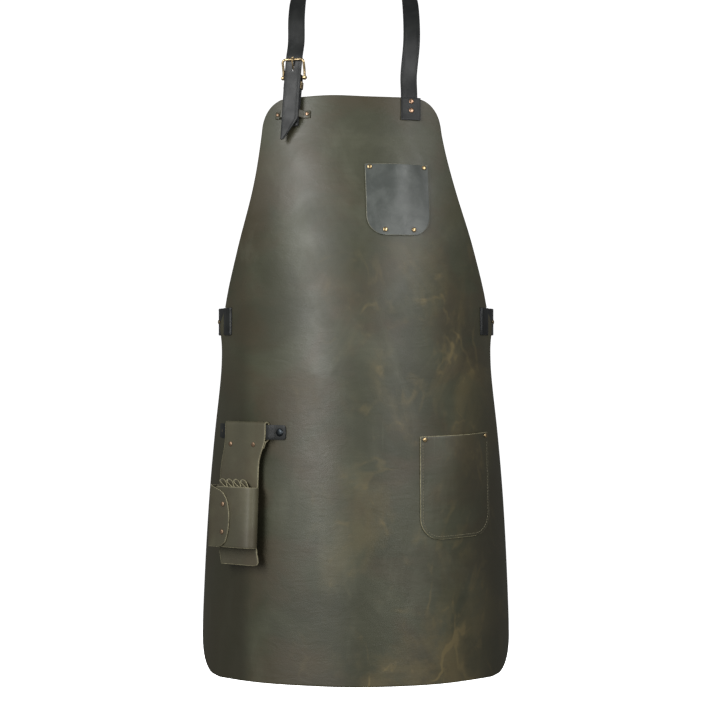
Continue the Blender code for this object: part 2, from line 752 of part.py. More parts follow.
def pouch_round():
    """The front wrap in plan, as (x, out) points from the main sheet's right edge to the left."""
    return [
        (BODY_RIGHT - 0.0050, MAIN_OUT),
        (BODY_RIGHT - 0.0005, MAIN_OUT + 0.0004),
        (BODY_RIGHT + 0.0030, 0.0140),
        (BODY_RIGHT + 0.0043, 0.0185),
        (BODY_RIGHT + 0.0030, 0.0235),
        (BODY_RIGHT - 0.0020, 0.0282),
        (BODY_RIGHT - 0.0110, 0.0304),
        (0.0, 0.0314),
        (-0.0150, 0.0312),
        (-0.0360, 0.0296),
    ]


def flap_round():
    """The side flap in plan, as (x, out) points from the main sheet's left edge over the front wrap."""
    return [
        (BODY_LEFT + 0.0050, MAIN_OUT),
        (BODY_LEFT + 0.0005, MAIN_OUT + 0.0004),
        (BODY_LEFT - 0.0035, 0.0145),
        (BODY_LEFT - 0.0050, 0.0200),
        (BODY_LEFT - 0.0040, 0.0260),
        (BODY_LEFT + 0.0010, 0.0310),
        (BODY_LEFT + 0.0120, 0.0334),
        (-0.0150, 0.0341),
        (0.0, 0.0342),
    ]


def passed(line, x):
    """The place along a line, counted in its points, where its last stretch passes x."""
    k = len(line) - 1
    while k > 1 and line[k - 1].x > x:
        k -= 1
    a, b = line[k - 1], line[k]
    return k - 1 + min(max((x - a.x) / (b.x - a.x), 0.0), 1.0)


def make_holster(home):
    """The holster's leather: one sheet folded over the strap, with its front wrap and side flap."""
    hang = home @ Matrix.Rotation(-HOLSTER_LEAN, 4, "X")
    bow = MAIN_OUT - RETURN_OUT
    top = FOLD_TOP - HOLSTER_THICK / 2 - bow / 2
    path = [(MAIN_OUT, BODY_BOTTOM + 0.0095 * k / 3) for k in range(4)]
    heights = (-0.150, -0.110, -0.080, -0.060, -0.050, -0.040, -0.030, -0.0205, -0.012, 0.0)
    path += [(MAIN_OUT, z) for z in heights]
    path += arc(((MAIN_OUT + RETURN_OUT) / 2, top), bow / 2, 0, 180, 8)
    path += RETURN_PATH

    def main(u, v):
        k = round(v * (len(path) - 1))
        out, z = path[k]
        low, high = smooth(LEFT_EDGE, z), smooth(RIGHT_EDGE, z)
        inset = max(0.0, 0.0095 - (z - BODY_BOTTOM))
        high -= 0.0095 - math.sqrt(max(0.0095**2 - inset**2, 0.0))
        return place(hang, low + (high - low) * u, out, z)

    body = sheet("holster_body", 1, len(path) - 1, main, HOLSTER_THICK, 0.0, "olive_leather")

    wrap_line = through([(x, out, 0.0) for x, out in pouch_round()], 2)

    def wrap(u, v):
        x, out, _ = wrap_line[round(u * (len(wrap_line) - 1))]
        return place(hang, x, out, POUCH_BOTTOM + (POUCH_TOP - POUCH_BOTTOM) * v)

    front = sheet("holster_wrap_shape", len(wrap_line) - 1, 1, wrap, 0.0020, 0.0, cutter=True)
    combine(body, front, "UNION")

    flap_line = through([(x, out, 0.0) for x, out in flap_round()], 3)
    rows = [-0.168, -0.1665, -0.165, -0.158, -0.147, -0.136, -0.123, -0.111, -0.100, -0.089, -0.084, -0.079]

    def flap(u, v):
        z = rows[round(v * (len(rows) - 1))]
        k = u * passed(flap_line, smooth(FLAP_EDGE, z))
        a, b = flap_line[math.floor(k)], flap_line[math.ceil(k)]
        point = a.lerp(b, k - math.floor(k))
        return place(hang, point.x, point.y, z)

    side = sheet("holster_flap_shape", 20, len(rows) - 1, flap, 0.0020, 0.0, cutter=True)
    combine(body, side, "UNION")

    hangers = [moved(hang, x, 0.0, HANGER_RIVETS_Z) for x in (-0.028, 0.0165)]
    flaps = [moved(hang, -0.0180, 0.0, z) for z in (-0.1060, -0.1460)]
    holes = [(outward(moved(frame, 0, 0.010, 0)), HOLE, 0.012) for frame in hangers]
    holes += [(outward(moved(frame, 0, 0.0325, 0)), HOLE, 0.008) for frame in flaps]
    cut(body, holes)
    for name, frame in zip(("left", "right"), hangers):
        front, back = MAIN_OUT + 0.0011, 0.0085 - 0.0011
        rivet(f"holster_rivet_{name}", frame, front, back, "brass", head=0.0035, cap=0.0026)
    for name, frame in zip(("upper", "lower"), flaps):
        rivet(f"flap_rivet_{name}", frame, 0.0352, 0.0300, "brass", head=0.0035, cap=0.0036)
    return hang


def make_divider(hang):
    """The wavy strip behind the holster's front wrap: four tool loops, higher at the back."""
    steps = 12 * LOOPS
    left, right = BODY_LEFT + 0.0030, BODY_RIGHT - 0.0035
    near, far = MAIN_OUT + HOLSTER_THICK / 2 + 0.0011, 0.0245
    low = POUCH_BOTTOM + 0.014
    wave = [(0.0, 0.0), (0.15, 0.0), (0.50, 0.55), (0.75, 1.0), (0.88, 0.75), (1.0, 0.0)]

    def where(u, v):
        forward = smooth(wave, (u * LOOPS) % 1.0)
        high = POUCH_TOP + 0.0100 - 0.0120 * forward
        return place(hang, left + (right - left) * u, near + (far - near) * forward, low + (high - low) * v)

    sheet("holster_tool_divider", steps, 1, where, 0.0014, 0.0, "olive_leather")


def principled(name, colour, roughness, metallic):
    material = bpy.data.materials.new(name)
    material.use_nodes = True
    shader = material.node_tree.nodes["Principled BSDF"]
    shader.inputs["Base Color"].default_value = (*colour, 1.0)
    shader.inputs["Roughness"].default_value = roughness
    shader.inputs["Metallic"].default_value = metallic
    material.diffuse_color = (*colour, 1.0)
    return material


for old in list(bpy.data.objects):
    bpy.data.objects.remove(old)
parts = bpy.data.collections.new(OBJECT_NAME)
cutters = bpy.data.collections.new("cutters")
for group in (parts, cutters):
    bpy.context.scene.collection.children.link(group)
materials = {
    "olive_leather": principled("olive_leather", (0.085, 0.080, 0.055), 0.45, 0.0),
    "black_leather": principled("black_leather", (0.030, 0.033, 0.033), 0.40, 0.0),
    "brass": principled("brass", (0.45, 0.33, 0.16), 0.35, 1.0),
    "antique_brass": principled("antique_brass", (0.36, 0.27, 0.14), 0.38, 1.0),
    "copper": principled("copper", (0.42, 0.25, 0.16), 0.38, 1.0),
    "dark_metal": principled("dark_metal", (0.05, 0.055, 0.06), 0.30, 1.0),
}

left_bib = panel_frame(STRAP_ALONG_LEFT, STRAP_HEIGHT) @ Matrix.Rotation(STRAP_TURN_LEFT, 4, "Y")
right_bib = panel_frame(STRAP_ALONG_RIGHT, STRAP_HEIGHT) @ Matrix.Rotation(STRAP_TURN_RIGHT, 4, "Y")
neck_buckle = moved(left_bib, 0.0, BASE_LIFT, PIN_ABOVE)
holster_home, hanger_ends = holster_frames()

bib_holes = make_neck_anchor(left_bib, neck_buckle)
make_panel(bib_holes, hanger_ends)
make_neck_strap(left_bib, right_bib, neck_buckle)
make_patch()
buckle("neck", neck_buckle, NECK_WIDTH, "antique_brass")
make_waist()
make_pocket("chest_pocket", CHEST_POCKET, 0.0, CHEST_BULGE, "black_leather", True)
make_pocket("lower_pocket", LOWER_POCKET, LOWER_TILT, LOWER_BULGE, "olive_leather", False)
make_hanger(holster_home, hanger_ends)
holster_hang = make_holster(holster_home)
make_divider(holster_hang)
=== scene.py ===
"""The visual model of a leather welding apron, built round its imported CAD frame.

Metres, +Z up, the wearer faces -Y and +X is on the wearer's left. A place on the panel is (along, height):
along is measured on the leather from its middle line, and lift is the distance outward from its outer face.
The shapes repeat part.py's dimensions, with finer meshes, rounded raw edges, creases, stitches and materials.
Three are this script's own: the width of the waist slits, the prong's hole, and the tool strip's curve.
"""

import math

import bmesh
import bpy
from mathutils import Matrix, Vector


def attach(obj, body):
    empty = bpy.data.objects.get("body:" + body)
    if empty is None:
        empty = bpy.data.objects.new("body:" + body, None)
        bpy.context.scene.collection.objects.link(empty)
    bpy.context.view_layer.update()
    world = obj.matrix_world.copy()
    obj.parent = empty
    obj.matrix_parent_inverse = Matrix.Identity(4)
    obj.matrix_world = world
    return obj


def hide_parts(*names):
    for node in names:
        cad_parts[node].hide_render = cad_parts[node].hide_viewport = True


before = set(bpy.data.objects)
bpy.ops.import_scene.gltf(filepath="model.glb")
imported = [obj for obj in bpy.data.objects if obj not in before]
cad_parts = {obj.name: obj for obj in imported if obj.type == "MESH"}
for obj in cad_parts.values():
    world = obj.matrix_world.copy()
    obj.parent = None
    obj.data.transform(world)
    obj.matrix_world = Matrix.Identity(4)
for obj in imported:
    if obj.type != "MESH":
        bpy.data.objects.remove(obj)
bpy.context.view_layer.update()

# Camera
CAMERA_AT = (0.0057, -3.235, -0.5697)
CAMERA_LENS = 105.0

# Panel: one sheet bent round the wearer. Each list is (height, value), from the hem up.
PANEL_TOP = -0.187
PANEL_HEM = -1.0375
PANEL_THICK = 0.0024
TOP_CORNER = 0.046
HEM_CORNER = 0.058
HALF_WIDTH = [
    (-1.0375, 0.2925),
    (-0.945, 0.2904),
    (-0.796, 0.2799),
    (-0.677, 0.2687),
    (-0.590, 0.2550),
    (-0.514, 0.2505),
    (-0.412, 0.2013),
    (-0.325, 0.1627),
    (-0.240, 0.1405),
    (-0.187, 0.1380),
]
BEND_RADIUS = [(-1.0375, 0.250), (-0.796, 0.241), (-0.516, 0.216), (-0.325, 0.232), (-0.187, 0.235)]
FRONT_Y = [(-1.0375, -0.235), (-0.500, -0.235), (-0.340, -0.221), (-0.187, -0.1885)]
LEAN_X = [
    (-1.0375, 0.0),
    (-0.600, 0.0),
    (-0.412, -0.001),
    (-0.325, -0.003),
    (-0.240, -0.0065),
    (-0.187, -0.0065),
]

# Leather thicknesses and where a layer lies on the panel
STRAP_THICK = 0.0024
LOOP_THICK = 0.0018
POCKET_THICK = 0.0020
HOLSTER_THICK = 0.0022
LAY = 0.0005
GAP = 0.0004
SHANK = 0.0014
BEHIND = -PANEL_THICK - GAP

# Neck halter
NECK_WIDTH = 0.0253
STRAP_ALONG_LEFT = -0.0890
STRAP_ALONG_RIGHT = 0.0880
STRAP_HEIGHT = -0.213
STRAP_TURN_LEFT = math.radians(0.6)
STRAP_TURN_RIGHT = math.radians(3.8)
PIN_ABOVE = 0.055
LEFT_WIDER = 1.08
BASE_LIFT = LAY + STRAP_THICK / 2
SLANTED_CUT = 0.031
STRAP_CREASE = -0.00020

# Buckle, in its own frame
PIN_RADIUS = 0.0015
PIN_OUT = 0.0031
BILLET_OUT = 0.0089
WIRE_RADIUS = 0.0019
NOSE_OUT = 0.0123
NOSE_UP = 0.025
SIDE_ROOM = 0.0040
PRONG_RADIUS = 0.0011
FOLD_OUT = 0.0028
PRONG_HOLE = (0.0029, 0.0080, 0.0160)

# Waist strap
WAIST_HEIGHT = -0.5125
WAIST_WIDTH = 0.040
SLIT_INNER = 0.2200
SLIT_OUTER = 0.2415
SLIT_WIDTH = 0.0038
LOOP_RIVET = 0.265
BEND = 0.0024
LAYER_A = -0.0041
LAYER_B = -0.0069
FRONT_LAYER = 0.0021
BACK_Y = 0.0222
WAIST_PIN_X = 0.014

# Pockets: (middle along, top, width, height, corner)
CHEST_POCKET = (0.0643, -0.2872, 0.0952, 0.1036, 0.028)
LOWER_POCKET = (0.1603, -0.6778, 0.1330, 0.1500, 0.033)
LOWER_TILT = math.tan(math.radians(1.7))
CHEST_BULGE = 0.0075
LOWER_BULGE = 0.0085
STITCH_INSIDE = 0.0042
STITCH_PITCH = 0.0042
STITCH_GAP = 0.0010

# Holster, in its own frame
HOLSTER_ALONG = -0.168
HOLSTER_HEIGHT = -0.6740
HOLSTER_TURN = math.radians(3.0)
HOLSTER_LEAN = math.radians(1.2)
HANGER_HIGH = 0.021
HANGER_OUT = 0.0084
HANGER_THICK = 0.0020
WRAP_THICK = 0.0020
DIVIDER_THICK = 0.0015
MAIN_OUT = 0.0109
RETURN_OUT = 0.0025
FOLD_TOP = 0.0150
BODY_LEFT = -0.0465
BODY_RIGHT = 0.0275
BODY_BOTTOM = -0.1935
LEFT_EDGE = [
    (-0.195, -0.0385),
    (-0.165, -0.0445),
    (-0.060, -0.0465),
    (-0.042, -0.0445),
    (-0.018, -0.040),
    (0.015, -0.040),
]
RIGHT_EDGE = [
    (-0.195, 0.0360),
    (-0.168, 0.0290),
    (-0.060, 0.0275),
    (-0.040, 0.0285),
    (-0.012, 0.0375),
    (0.015, 0.0375),
]
POUCH_TOP = -0.0805
POUCH_BOTTOM = -0.168
FLAP_TOP = -0.079
FLAP_EDGE = [
    (POUCH_BOTTOM, -0.0240),
    (-0.165, -0.0177),
    (-0.158, -0.0108),
    (-0.136, -0.0060),
    (-0.111, -0.0075),
    (-0.089, -0.0199),
    (FLAP_TOP, -0.0470),
]
HANGER_RIVETS_Z = -0.0187
RETURN_PATH = [
    (RETURN_OUT, 0.0),
    (RETURN_OUT, -0.0060),
    (RETURN_OUT, -0.0116),
    (0.0083, -0.0150),
    (0.0085, -0.0187),
    (0.0085, -0.0246),
]
TAIL_CORNER = 0.0095
LOOPS = 4
LOOP_PITCH = 0.0135

# Finish: a piece's looks are the materials of its faces, of its cut edges, and of its back if that differs
EDGE_ROUND = 0.00055
POCKET_ROUND = 0.00075
SHARP_ANGLE = math.radians(24)
ROUNDED_ANGLE = math.radians(60)
CORNER_STEPS = 14
NO_DISTANCE = 0.00001
BLACK_LOOKS = ("black", "black_edge")
HOLSTER_LOOKS = ("olive_holster", "olive_edge")
PANEL_LOOKS = ("olive", "panel_edge", "flesh")


# Shapes


def smooth(points, at):
    """The value at a place on a smooth curve through (place, value) points, which rise in place."""
    last = len(points) - 1
    at = min(max(at, points[0][0]), points[last][0])
    i = max(k for k in range(last) if points[k][0] <= at)

    def slope(k):
        a, b = points[max(k - 1, 0)], points[min(k + 1, last)]
        return (b[1] - a[1]) / (b[0] - a[0])

    (x0, y0), (x1, y1) = points[i], points[i + 1]
    step = x1 - x0
    t = (at - x0) / step
    start = (2 * t**3 - 3 * t**2 + 1) * y0 + (t**3 - 2 * t**2 + t) * step * slope(i)
    end = (3 * t**2 - 2 * t**3) * y1 + (t**3 - t**2) * step * slope(i + 1)
    return start + end


def through(points, steps):
    """A smooth line through 3-D points, with that many steps between each two."""
    points = [Vector(p) for p in points]
    places = [0.0]
    for a, b in zip(points, points[1:]):
        places.append(places[-1] + (b - a).length)
    axes = [[(place, point[k]) for place, point in zip(places, points)] for k in range(3)]
    line = []
    for a, b in zip(places, places[1:]):
        line += [Vector([smooth(axis, a + (b - a) * k / steps) for axis in axes]) for k in range(steps)]
    return line + [points[-1]]


def arc(middle, radius, start, end, steps):
    """Points on a flat arc, with its angles in degrees."""
    angles = [math.radians(start + (end - start) * k / steps) for k in range(steps + 1)]
    return [(middle[0] + radius * math.cos(a), middle[1] + radius * math.sin(a)) for a in angles]


def hump(distance, reach):
    """1 at no distance, falling smoothly towards 0."""
    return math.exp(-((distance / reach) ** 2))


def relief(along, height):
    """The panel's slight waves, outward: flutes down the skirt and a flared margin beside each waist slit."""
    skirt = min(max((-0.60 - height) / 0.35, 0.0), 1.0)
    flutes = 0.0016 * math.sin(along * 21.0 + 0.6) + 0.0009 * math.sin(along * 47.0 + 2.0)
    lift = skirt * skirt * flutes
    belly = hump(height + 0.43, 0.09) * hump(along - 0.01, 0.12)
    lift += 0.0012 * belly
    beside = min(max((abs(along) - SLIT_OUTER) / 0.009, 0.0), 1.0)
    lift += 0.0045 * beside * hump(height - WAIST_HEIGHT + 0.004, 0.022)
    return lift


def on_panel(along, height, lift=0.0):
    """A point on the panel, lift outward from its outer face."""
    bend = smooth(BEND_RADIUS, height)
    angle = along / bend
    lift += relief(along, height)
    x = smooth(LEAN_X, height) + (bend + lift) * math.sin(angle)
    y = smooth(FRONT_Y, height) + bend - (bend + lift) * math.cos(angle)
    return Vector((x, y, height))


def panel_frame(along, height):
    """The frame at a place on the panel: x along the leather, y inward, z up the leather."""
    step = 0.002
    right = (on_panel(along + step, height) - on_panel(along - step, height)).normalized()
    up = on_panel(along, height + step) - on_panel(along, height - step)
    inward = up.cross(right).normalized()
    up = right.cross(inward)
    matrix = Matrix((right, inward, up)).transposed().to_4x4()
    matrix.translation = on_panel(along, height)
    return matrix


def place(matrix, x, out, z):
    """A point in a frame whose y axis points inward."""
    return matrix @ Vector((x, -out, z))


def moved(matrix, x, out, z):
    """The frame moved to one of its own points."""
    return matrix @ Matrix.Translation((x, -out, z))


def half_width(height):
    """Half of the panel's flat width, with its round corners."""
    width = smooth(HALF_WIDTH, height)
    for end, radius in ((PANEL_HEM, HEM_CORNER), (PANEL_TOP, TOP_CORNER)):
        inside = radius - abs(height - end)
        if inside > 0:
            width -= radius - math.sqrt(max(radius**2 - inside**2, 0))
    return width


def rows_between(low, high, low_corner, high_corner, steps):
    """Heights of a sheet's rows, closer together round its corners."""
    turn = [math.pi / 2 * k / CORNER_STEPS for k in range(CORNER_STEPS) if k == 0 or k > 2]
    bottom = [low + low_corner * (1 - math.cos(a)) for a in turn] if low_corner else []
    top = [high - high_corner * (1 - math.cos(a)) for a in reversed(turn)] if high_corner else []
    start, end = low + low_corner, high - high_corner
    middle = [start + (end - start) * k / steps for k in range(steps + 1)]
    return bottom + middle + top


# Mesh tools


def added(name, data):
    """A new object in the scene."""
    thing = bpy.data.objects.new(name, data)
    bpy.context.scene.collection.objects.link(thing)
    return thing


def link(name, mesh, body, replaced=()):
    """A finished piece: it rides on a body, and the CAD nodes that it replaces are hidden."""
    piece = added(name, mesh)
    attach(piece, body)
    if replaced:
        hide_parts(*replaced)
    return piece


def baked(thing):
    """The object's mesh with its modifiers applied. The object goes."""
    bpy.context.view_layer.update()
    graph = bpy.context.evaluated_depsgraph_get()
    mesh = bpy.data.meshes.new_from_object(thing.evaluated_get(graph), depsgraph=graph)
    mesh.transform(thing.matrix_world)
    bpy.data.objects.remove(thing)
    return mesh


def mesh_from(form, name):
    """The bmesh as a new mesh. The bmesh goes."""
    mesh = bpy.data.meshes.new(name)
    form.to_mesh(mesh)
    form.free()
    return mesh


def smoothed(mesh):
    mesh.polygons.foreach_set("use_smooth", [True] * len(mesh.polygons))
    return mesh


def shaded(mesh):
    """Smooth faces with crisp edges where they turn sharply."""
    smoothed(mesh).set_sharp_from_angle(angle=SHARP_ANGLE)
    return mesh


def grid_mesh(columns, rows, where):
    """An open grid of points that where(column, row) gives."""
    points = [where(i, j) for j in range(rows) for i in range(columns)]
    faces = []
    for j in range(rows - 1):
        for i in range(columns - 1):
            k = j * columns + i
            faces.append((k, k + 1, k + columns + 1, k + columns))
    mesh = bpy.data.meshes.new("grid")
    mesh.from_pydata(points, [], faces)
    return mesh


def round_edges(thing, width):
    """Rounds an object's sharp edges."""
    edge = thing.modifiers.new("edges", "BEVEL")
    edge.width = width
    edge.segments = 2
    edge.limit_method = "ANGLE"
    edge.angle_limit = ROUNDED_ANGLE
    return edge


def sheet_mesh(columns, rows, where, looks, thickness, offset, rounding=EDGE_ROUND, tight=True):
    """A finished leather sheet from the points that where(column, row) gives."""
    return shaded(thickened(grid_mesh(columns, rows, where), looks, thickness, offset, rounding, tight))


def thickened(mesh, looks, thickness, offset, rounding=EDGE_ROUND, tight=True):
    """A leather sheet from an open grid, with rounded cut edges.

    A tight grid has short edges near its rim, which keep the rounding narrow.
    """
    for name in looks:
        mesh.materials.append(MATERIALS[name])
    thing = added("sheet", mesh)
    solid = thing.modifiers.new("thickness", "SOLIDIFY")
    solid.thickness = thickness
    solid.offset = offset
    solid.use_even_offset = True
    solid.material_offset_rim = 1
    solid.material_offset = 2 if len(looks) == 3 else 0
    edge = round_edges(thing, rounding)
    edge.use_clamp_overlap = tight
    edge.material = 1
    return baked(thing)


def add_rod(form, matrix, radius, length, run=0.0):
    """A rod along z. With a run, its section is stretched that far along y, between two half circles."""
    size = {"radius1": radius, "radius2": radius, "depth": length}
    made = bmesh.ops.create_cone(form, cap_ends=True, segments=22, **size)
    for vertex in made["verts"]:
        vertex.co.y += math.copysign(run / 2, vertex.co.y)
        vertex.co = matrix @ vertex.co


def carved(mesh, rods=(), boxes=()):
    """The mesh with rods (frame, radius, length, run) and boxes (frame, size) cut out of it, as cut edges."""
    form = bmesh.new()
    for rod in rods:
        add_rod(form, *rod)
    for matrix, size in boxes:
        bmesh.ops.create_cube(form, size=1.0, matrix=matrix @ Matrix.Diagonal((*size, 1.0)))
    for face in form.faces:
        face.material_index = 1
    tool = mesh_from(form, "tool")
    for material in mesh.materials:
        tool.materials.append(material)
    thing, cutter = added("carved", mesh), added("cutter", tool)
    step = thing.modifiers.new("cut", "BOOLEAN")
    step.operation = "DIFFERENCE"
    step.object = cutter
    result = baked(thing)
    bpy.data.objects.remove(cutter)
    return result


def united(meshes, material):
    """Several closed meshes as one body."""
    things = [added("part", mesh) for mesh in meshes]
    for other in things[1:]:
        step = things[0].modifiers.new("join", "BOOLEAN")
        step.operation = "UNION"
        step.object = other
    result = baked(things[0])
    for other in things[1:]:
        bpy.data.objects.remove(other)
    result.materials.clear()
    result.materials.append(MATERIALS[material])
    return result


def turned_mesh(profile, matrix, steps=32):
    """A turned shape round its own z axis. The profile runs down its outer side."""
    mesh = bpy.data.meshes.new("turned")
    mesh.from_pydata([(r, 0, z) for r, z in profile], [(k, k + 1) for k in range(len(profile) - 1)], [])
    thing = added("turned", mesh)
    thing.matrix_world = matrix
    screw = thing.modifiers.new("turn", "SCREW")
    screw.steps = steps
    screw.render_steps = steps
    screw.use_merge_vertices = True
    screw.merge_threshold = NO_DISTANCE
    return baked(thing)


def wire_mesh(points, radius, matrix):
    """A bent round wire with closed ends."""
    curve = bpy.data.curves.new("wire", "CURVE")
    curve.dimensions = "3D"
    curve.bevel_depth = radius
    curve.bevel_resolution = 5
    curve.use_fill_caps = True
    spline = curve.splines.new("POLY")
    spline.points.add(len(points) - 1)
    for point, at in zip(spline.points, points):
        point.co = (*at, 1)
    thing = added("wire", curve)
    thing.matrix_world = matrix
    mesh = baked(thing)
    form = bmesh.new()
    form.from_mesh(mesh)
    bmesh.ops.remove_doubles(form, verts=form.verts, dist=NO_DISTANCE)
    form.to_mesh(mesh)
    form.free()
    return mesh


def rod_along_x(matrix, x, out, z):
    """A frame whose z axis lies along the given frame's x axis, at one of its points."""
    return moved(matrix, x, out, z) @ Matrix.Rotation(math.pi / 2, 4, "Y")


def outward(matrix):
    """The frame turned so that its z axis points outward."""
    return matrix @ Matrix.Rotation(math.pi / 2, 4, "X")


# Materials


class Finish:
    """A material being made. Its methods add nodes and give their outputs.

    A colour is three numbers or a node's output, and the colour so far is kept until finished().
    """

    def __init__(self, name, roughness, metallic=0.0):
        self.material = bpy.data.materials.new(name)
        self.material.use_nodes = True
        self.tree = self.material.node_tree
        self.shader = self.tree.nodes["Principled BSDF"]
        self.set("Roughness", roughness)
        self.set("Metallic", metallic)
        self.at = self.add("TexCoord").outputs["Object"]
        self.colour = None
        self.normal = None

    def fill(self, socket, value):
        """Gives an input a plain value, or links a node's output to it."""
        if isinstance(value, bpy.types.NodeSocket):
            self.tree.links.new(value, socket)
        elif socket.type == "RGBA":
            socket.default_value = (*value, 1.0)
        else:
            socket.default_value = value

    def set(self, name, value):
        self.fill(self.shader.inputs[name], value)

    def add(self, kind, settings=None, **inputs):
        """A node. Its inputs are named with _ for a space."""
        node = self.tree.nodes.new("ShaderNode" + kind)
        for key, value in (settings or {}).items():
            setattr(node, key, value)
        for key, value in inputs.items():
            self.fill(node.inputs[key.replace("_", " ")], value)
        return node

    def figured(self, how, first, second=0.0, clamp=False):
        node = self.add("Math", {"operation": how, "use_clamp": clamp})
        for socket, value in zip(node.inputs, (first, second)):
            self.fill(socket, value)
        return node.outputs[0]

    def times(self, first, second, clamp=False):
        return self.figured("MULTIPLY", first, second, clamp)

    def plus(self, first, second, clamp=False):
        return self.figured("ADD", first, second, clamp)

    def spread(self, value, low, high, to_low=0.0, to_high=1.0):
        """A number mapped smoothly from one range to another."""
        ends = {"From_Min": low, "From_Max": high, "To_Min": to_low, "To_Max": to_high}
        return self.add("MapRange", {"interpolation_type": "SMOOTHSTEP"}, Value=value, **ends).outputs[0]

    def noise(self, scale, detail=3.0, roughness=0.5, distortion=0.0, at=None):
        shape = {"Scale": scale, "Detail": detail, "Roughness": roughness, "Distortion": distortion}
        return self.add("TexNoise", Vector=at or self.at, **shape).outputs["Fac"]

    def stretched(self, scale, shift=(0.0, 0.0, 0.0), turn=(0.0, 0.0, 0.0)):
        """Places for a pattern, scaled along each axis, shifted and turned."""
        return self.add("Mapping", Vector=self.at, Location=shift, Scale=scale, Rotation=turn).outputs[0]

    def mix(self, factor, first, second):
        node = self.add("Mix", {"data_type": "RGBA"})
        for socket, value in ((node.inputs[0], factor), (node.inputs[6], first), (node.inputs[7], second)):
            self.fill(socket, value)
        return node.outputs[2]

    def paint(self, mask, first, second):
        """Starts the colour: the first tone, with the second where the mask is."""
        self.colour = self.mix(mask, first, second)

    def tint(self, mask, tone, share=None):
        """Mixes a tone into the colour so far where the mask is, by that share of it."""
        factor = mask if share is None else self.times(mask, share)
        self.colour = self.mix(factor, self.colour, tone)

    def bump(self, height, strength, distance):
        """Raises the surface by a pattern, on top of any bump that it has already."""
        under = {"Normal": self.normal} if self.normal else {}
        node = self.add("Bump", Height=height, Strength=strength, Distance=distance, **under)
        self.normal = node.outputs[0]

    def grain(self, pores, pore_height, creases, crease_height):
        """Fine pores and wider creases in leather."""
        cells = self.add("TexVoronoi", {"feature": "SMOOTH_F1"}, Vector=self.at, Scale=pores)
        pits = self.plus(cells.outputs["Distance"], self.noise(pores * 0.6, 2.0))
        folds = self.noise(creases, 5.0, 0.6, 0.8, self.stretched((1.0, 1.0, 2.4)))
        self.bump(folds, 0.35, crease_height)
        self.bump(pits, 0.35, pore_height)

    def finished(self):
        self.set("Base Color", self.colour)
        self.set("Normal", self.normal)
        return self.material


def olive_leather(name, deep, main, pale, tan, tan_amount, everywhere=0.0, dry=0.0):
    """Waxed pull-up leather: olive with brown clouds, paler rubs, streaks and tan marks low on one side."""
    skin = Finish(name, 0.45)
    skin.set("Coat Weight", 0.07)
    skin.set("Coat Roughness", 0.38)
    axes = skin.add("SeparateXYZ", Vector=skin.at)
    across, height = axes.outputs["X"], axes.outputs["Z"]
    aside = skin.figured("ABSOLUTE", across)
    low = skin.spread(height, -0.36, -0.80)

    skin.paint(skin.spread(skin.noise(5.5, 4.0, 0.6, 0.6), 0.36, 0.66), deep, main)
    clouds = skin.noise(7.5, 4.0, 0.55, 0.5, skin.stretched((1.0, 1.0, 1.3), (2.0, 5.0, 1.0)))
    brown = skin.spread(skin.plus(clouds, skin.times(aside, 0.55)), 0.50, 0.68)
    skin.tint(brown, BROWN_CAST, 0.62)
    rubs = skin.noise(11.0, 5.0, 0.62, 0.9, skin.stretched((1.0, 1.0, 0.55)))
    skin.tint(skin.spread(rubs, 0.52, 0.72), pale, 0.50)
    streaks = skin.noise(1.0, 3.0, 0.6, at=skin.stretched((9.0, 9.0, 110.0)))
    skin.tint(skin.spread(streaks, 0.35, 0.70), deep, 0.22)

    right = skin.spread(across, -0.13, 0.10)
    worn = skin.spread(height, -0.26, -0.60)
    region = skin.figured("MAXIMUM", skin.times(worn, right), everywhere)
    haze = skin.noise(8.0, 5.0, 0.6, 0.5, skin.stretched((1.0, 1.0, 0.8), (4.0, 1.0, 2.0)))
    haze = skin.spread(haze, 0.46, 0.66)
    wander = skin.noise(9.0, 3.0, 0.5, 0.9, skin.stretched((1.0, 1.0, 0.75), (0.3, 0.1, 0.7)))
    vein = skin.figured("ABSOLUTE", skin.figured("SUBTRACT", wander, 0.5))
    vein = skin.spread(vein, 0.034, 0.0)
    breaks = skin.spread(skin.noise(17.0, 3.0, 0.6), 0.46, 0.62)
    marks = skin.times(skin.spread(skin.noise(34.0, 5.0, 0.65, 0.6), 0.56, 0.74), 0.6)
    marks = skin.plus(marks, skin.times(vein, breaks), clamp=True)
    marks = skin.times(marks, skin.spread(haze, 0.0, 1.0, 0.30, 1.0))
    tanned = skin.plus(skin.times(haze, 0.42), marks)
    skin.tint(skin.times(skin.times(tanned, region), tan_amount, clamp=True), tan)

    # Painted shade: the lower flanks darken towards both sides and downward where the light falls off, partly
    # also darker leather there; dry lessens it.
    left_side = skin.spread(across, -0.146, -0.170)
    right_side = skin.spread(across, 0.125, 0.215)
    flank_shade_and_tone = skin.figured("MAXIMUM", left_side, right_side)
    flank_shade_and_tone = skin.times(flank_shade_and_tone, skin.spread(low, 0.0, 1.0, 0.18, 0.86))
    skin.tint(flank_shade_and_tone, FLANK_SHADE_AND_DARK_LEATHER, 1.0 - 4.5 * dry)

    scratch_at = skin.stretched((26.0, 26.0, 1.6), turn=(0.5, 0.9, 0.3))
    skin.tint(skin.spread(skin.noise(3.0, 2.0, 0.5, at=scratch_at), 0.72, 0.80), pale, 0.35)

    shine = skin.noise(14.0, 4.0, 0.6, 0.5)
    skin.set("Roughness", skin.spread(shine, 0.30, 0.72, 0.41 + dry, 0.53 + dry))
    skin.grain(750.0, 0.00012, 36.0, 0.0009)
    return skin.finished()


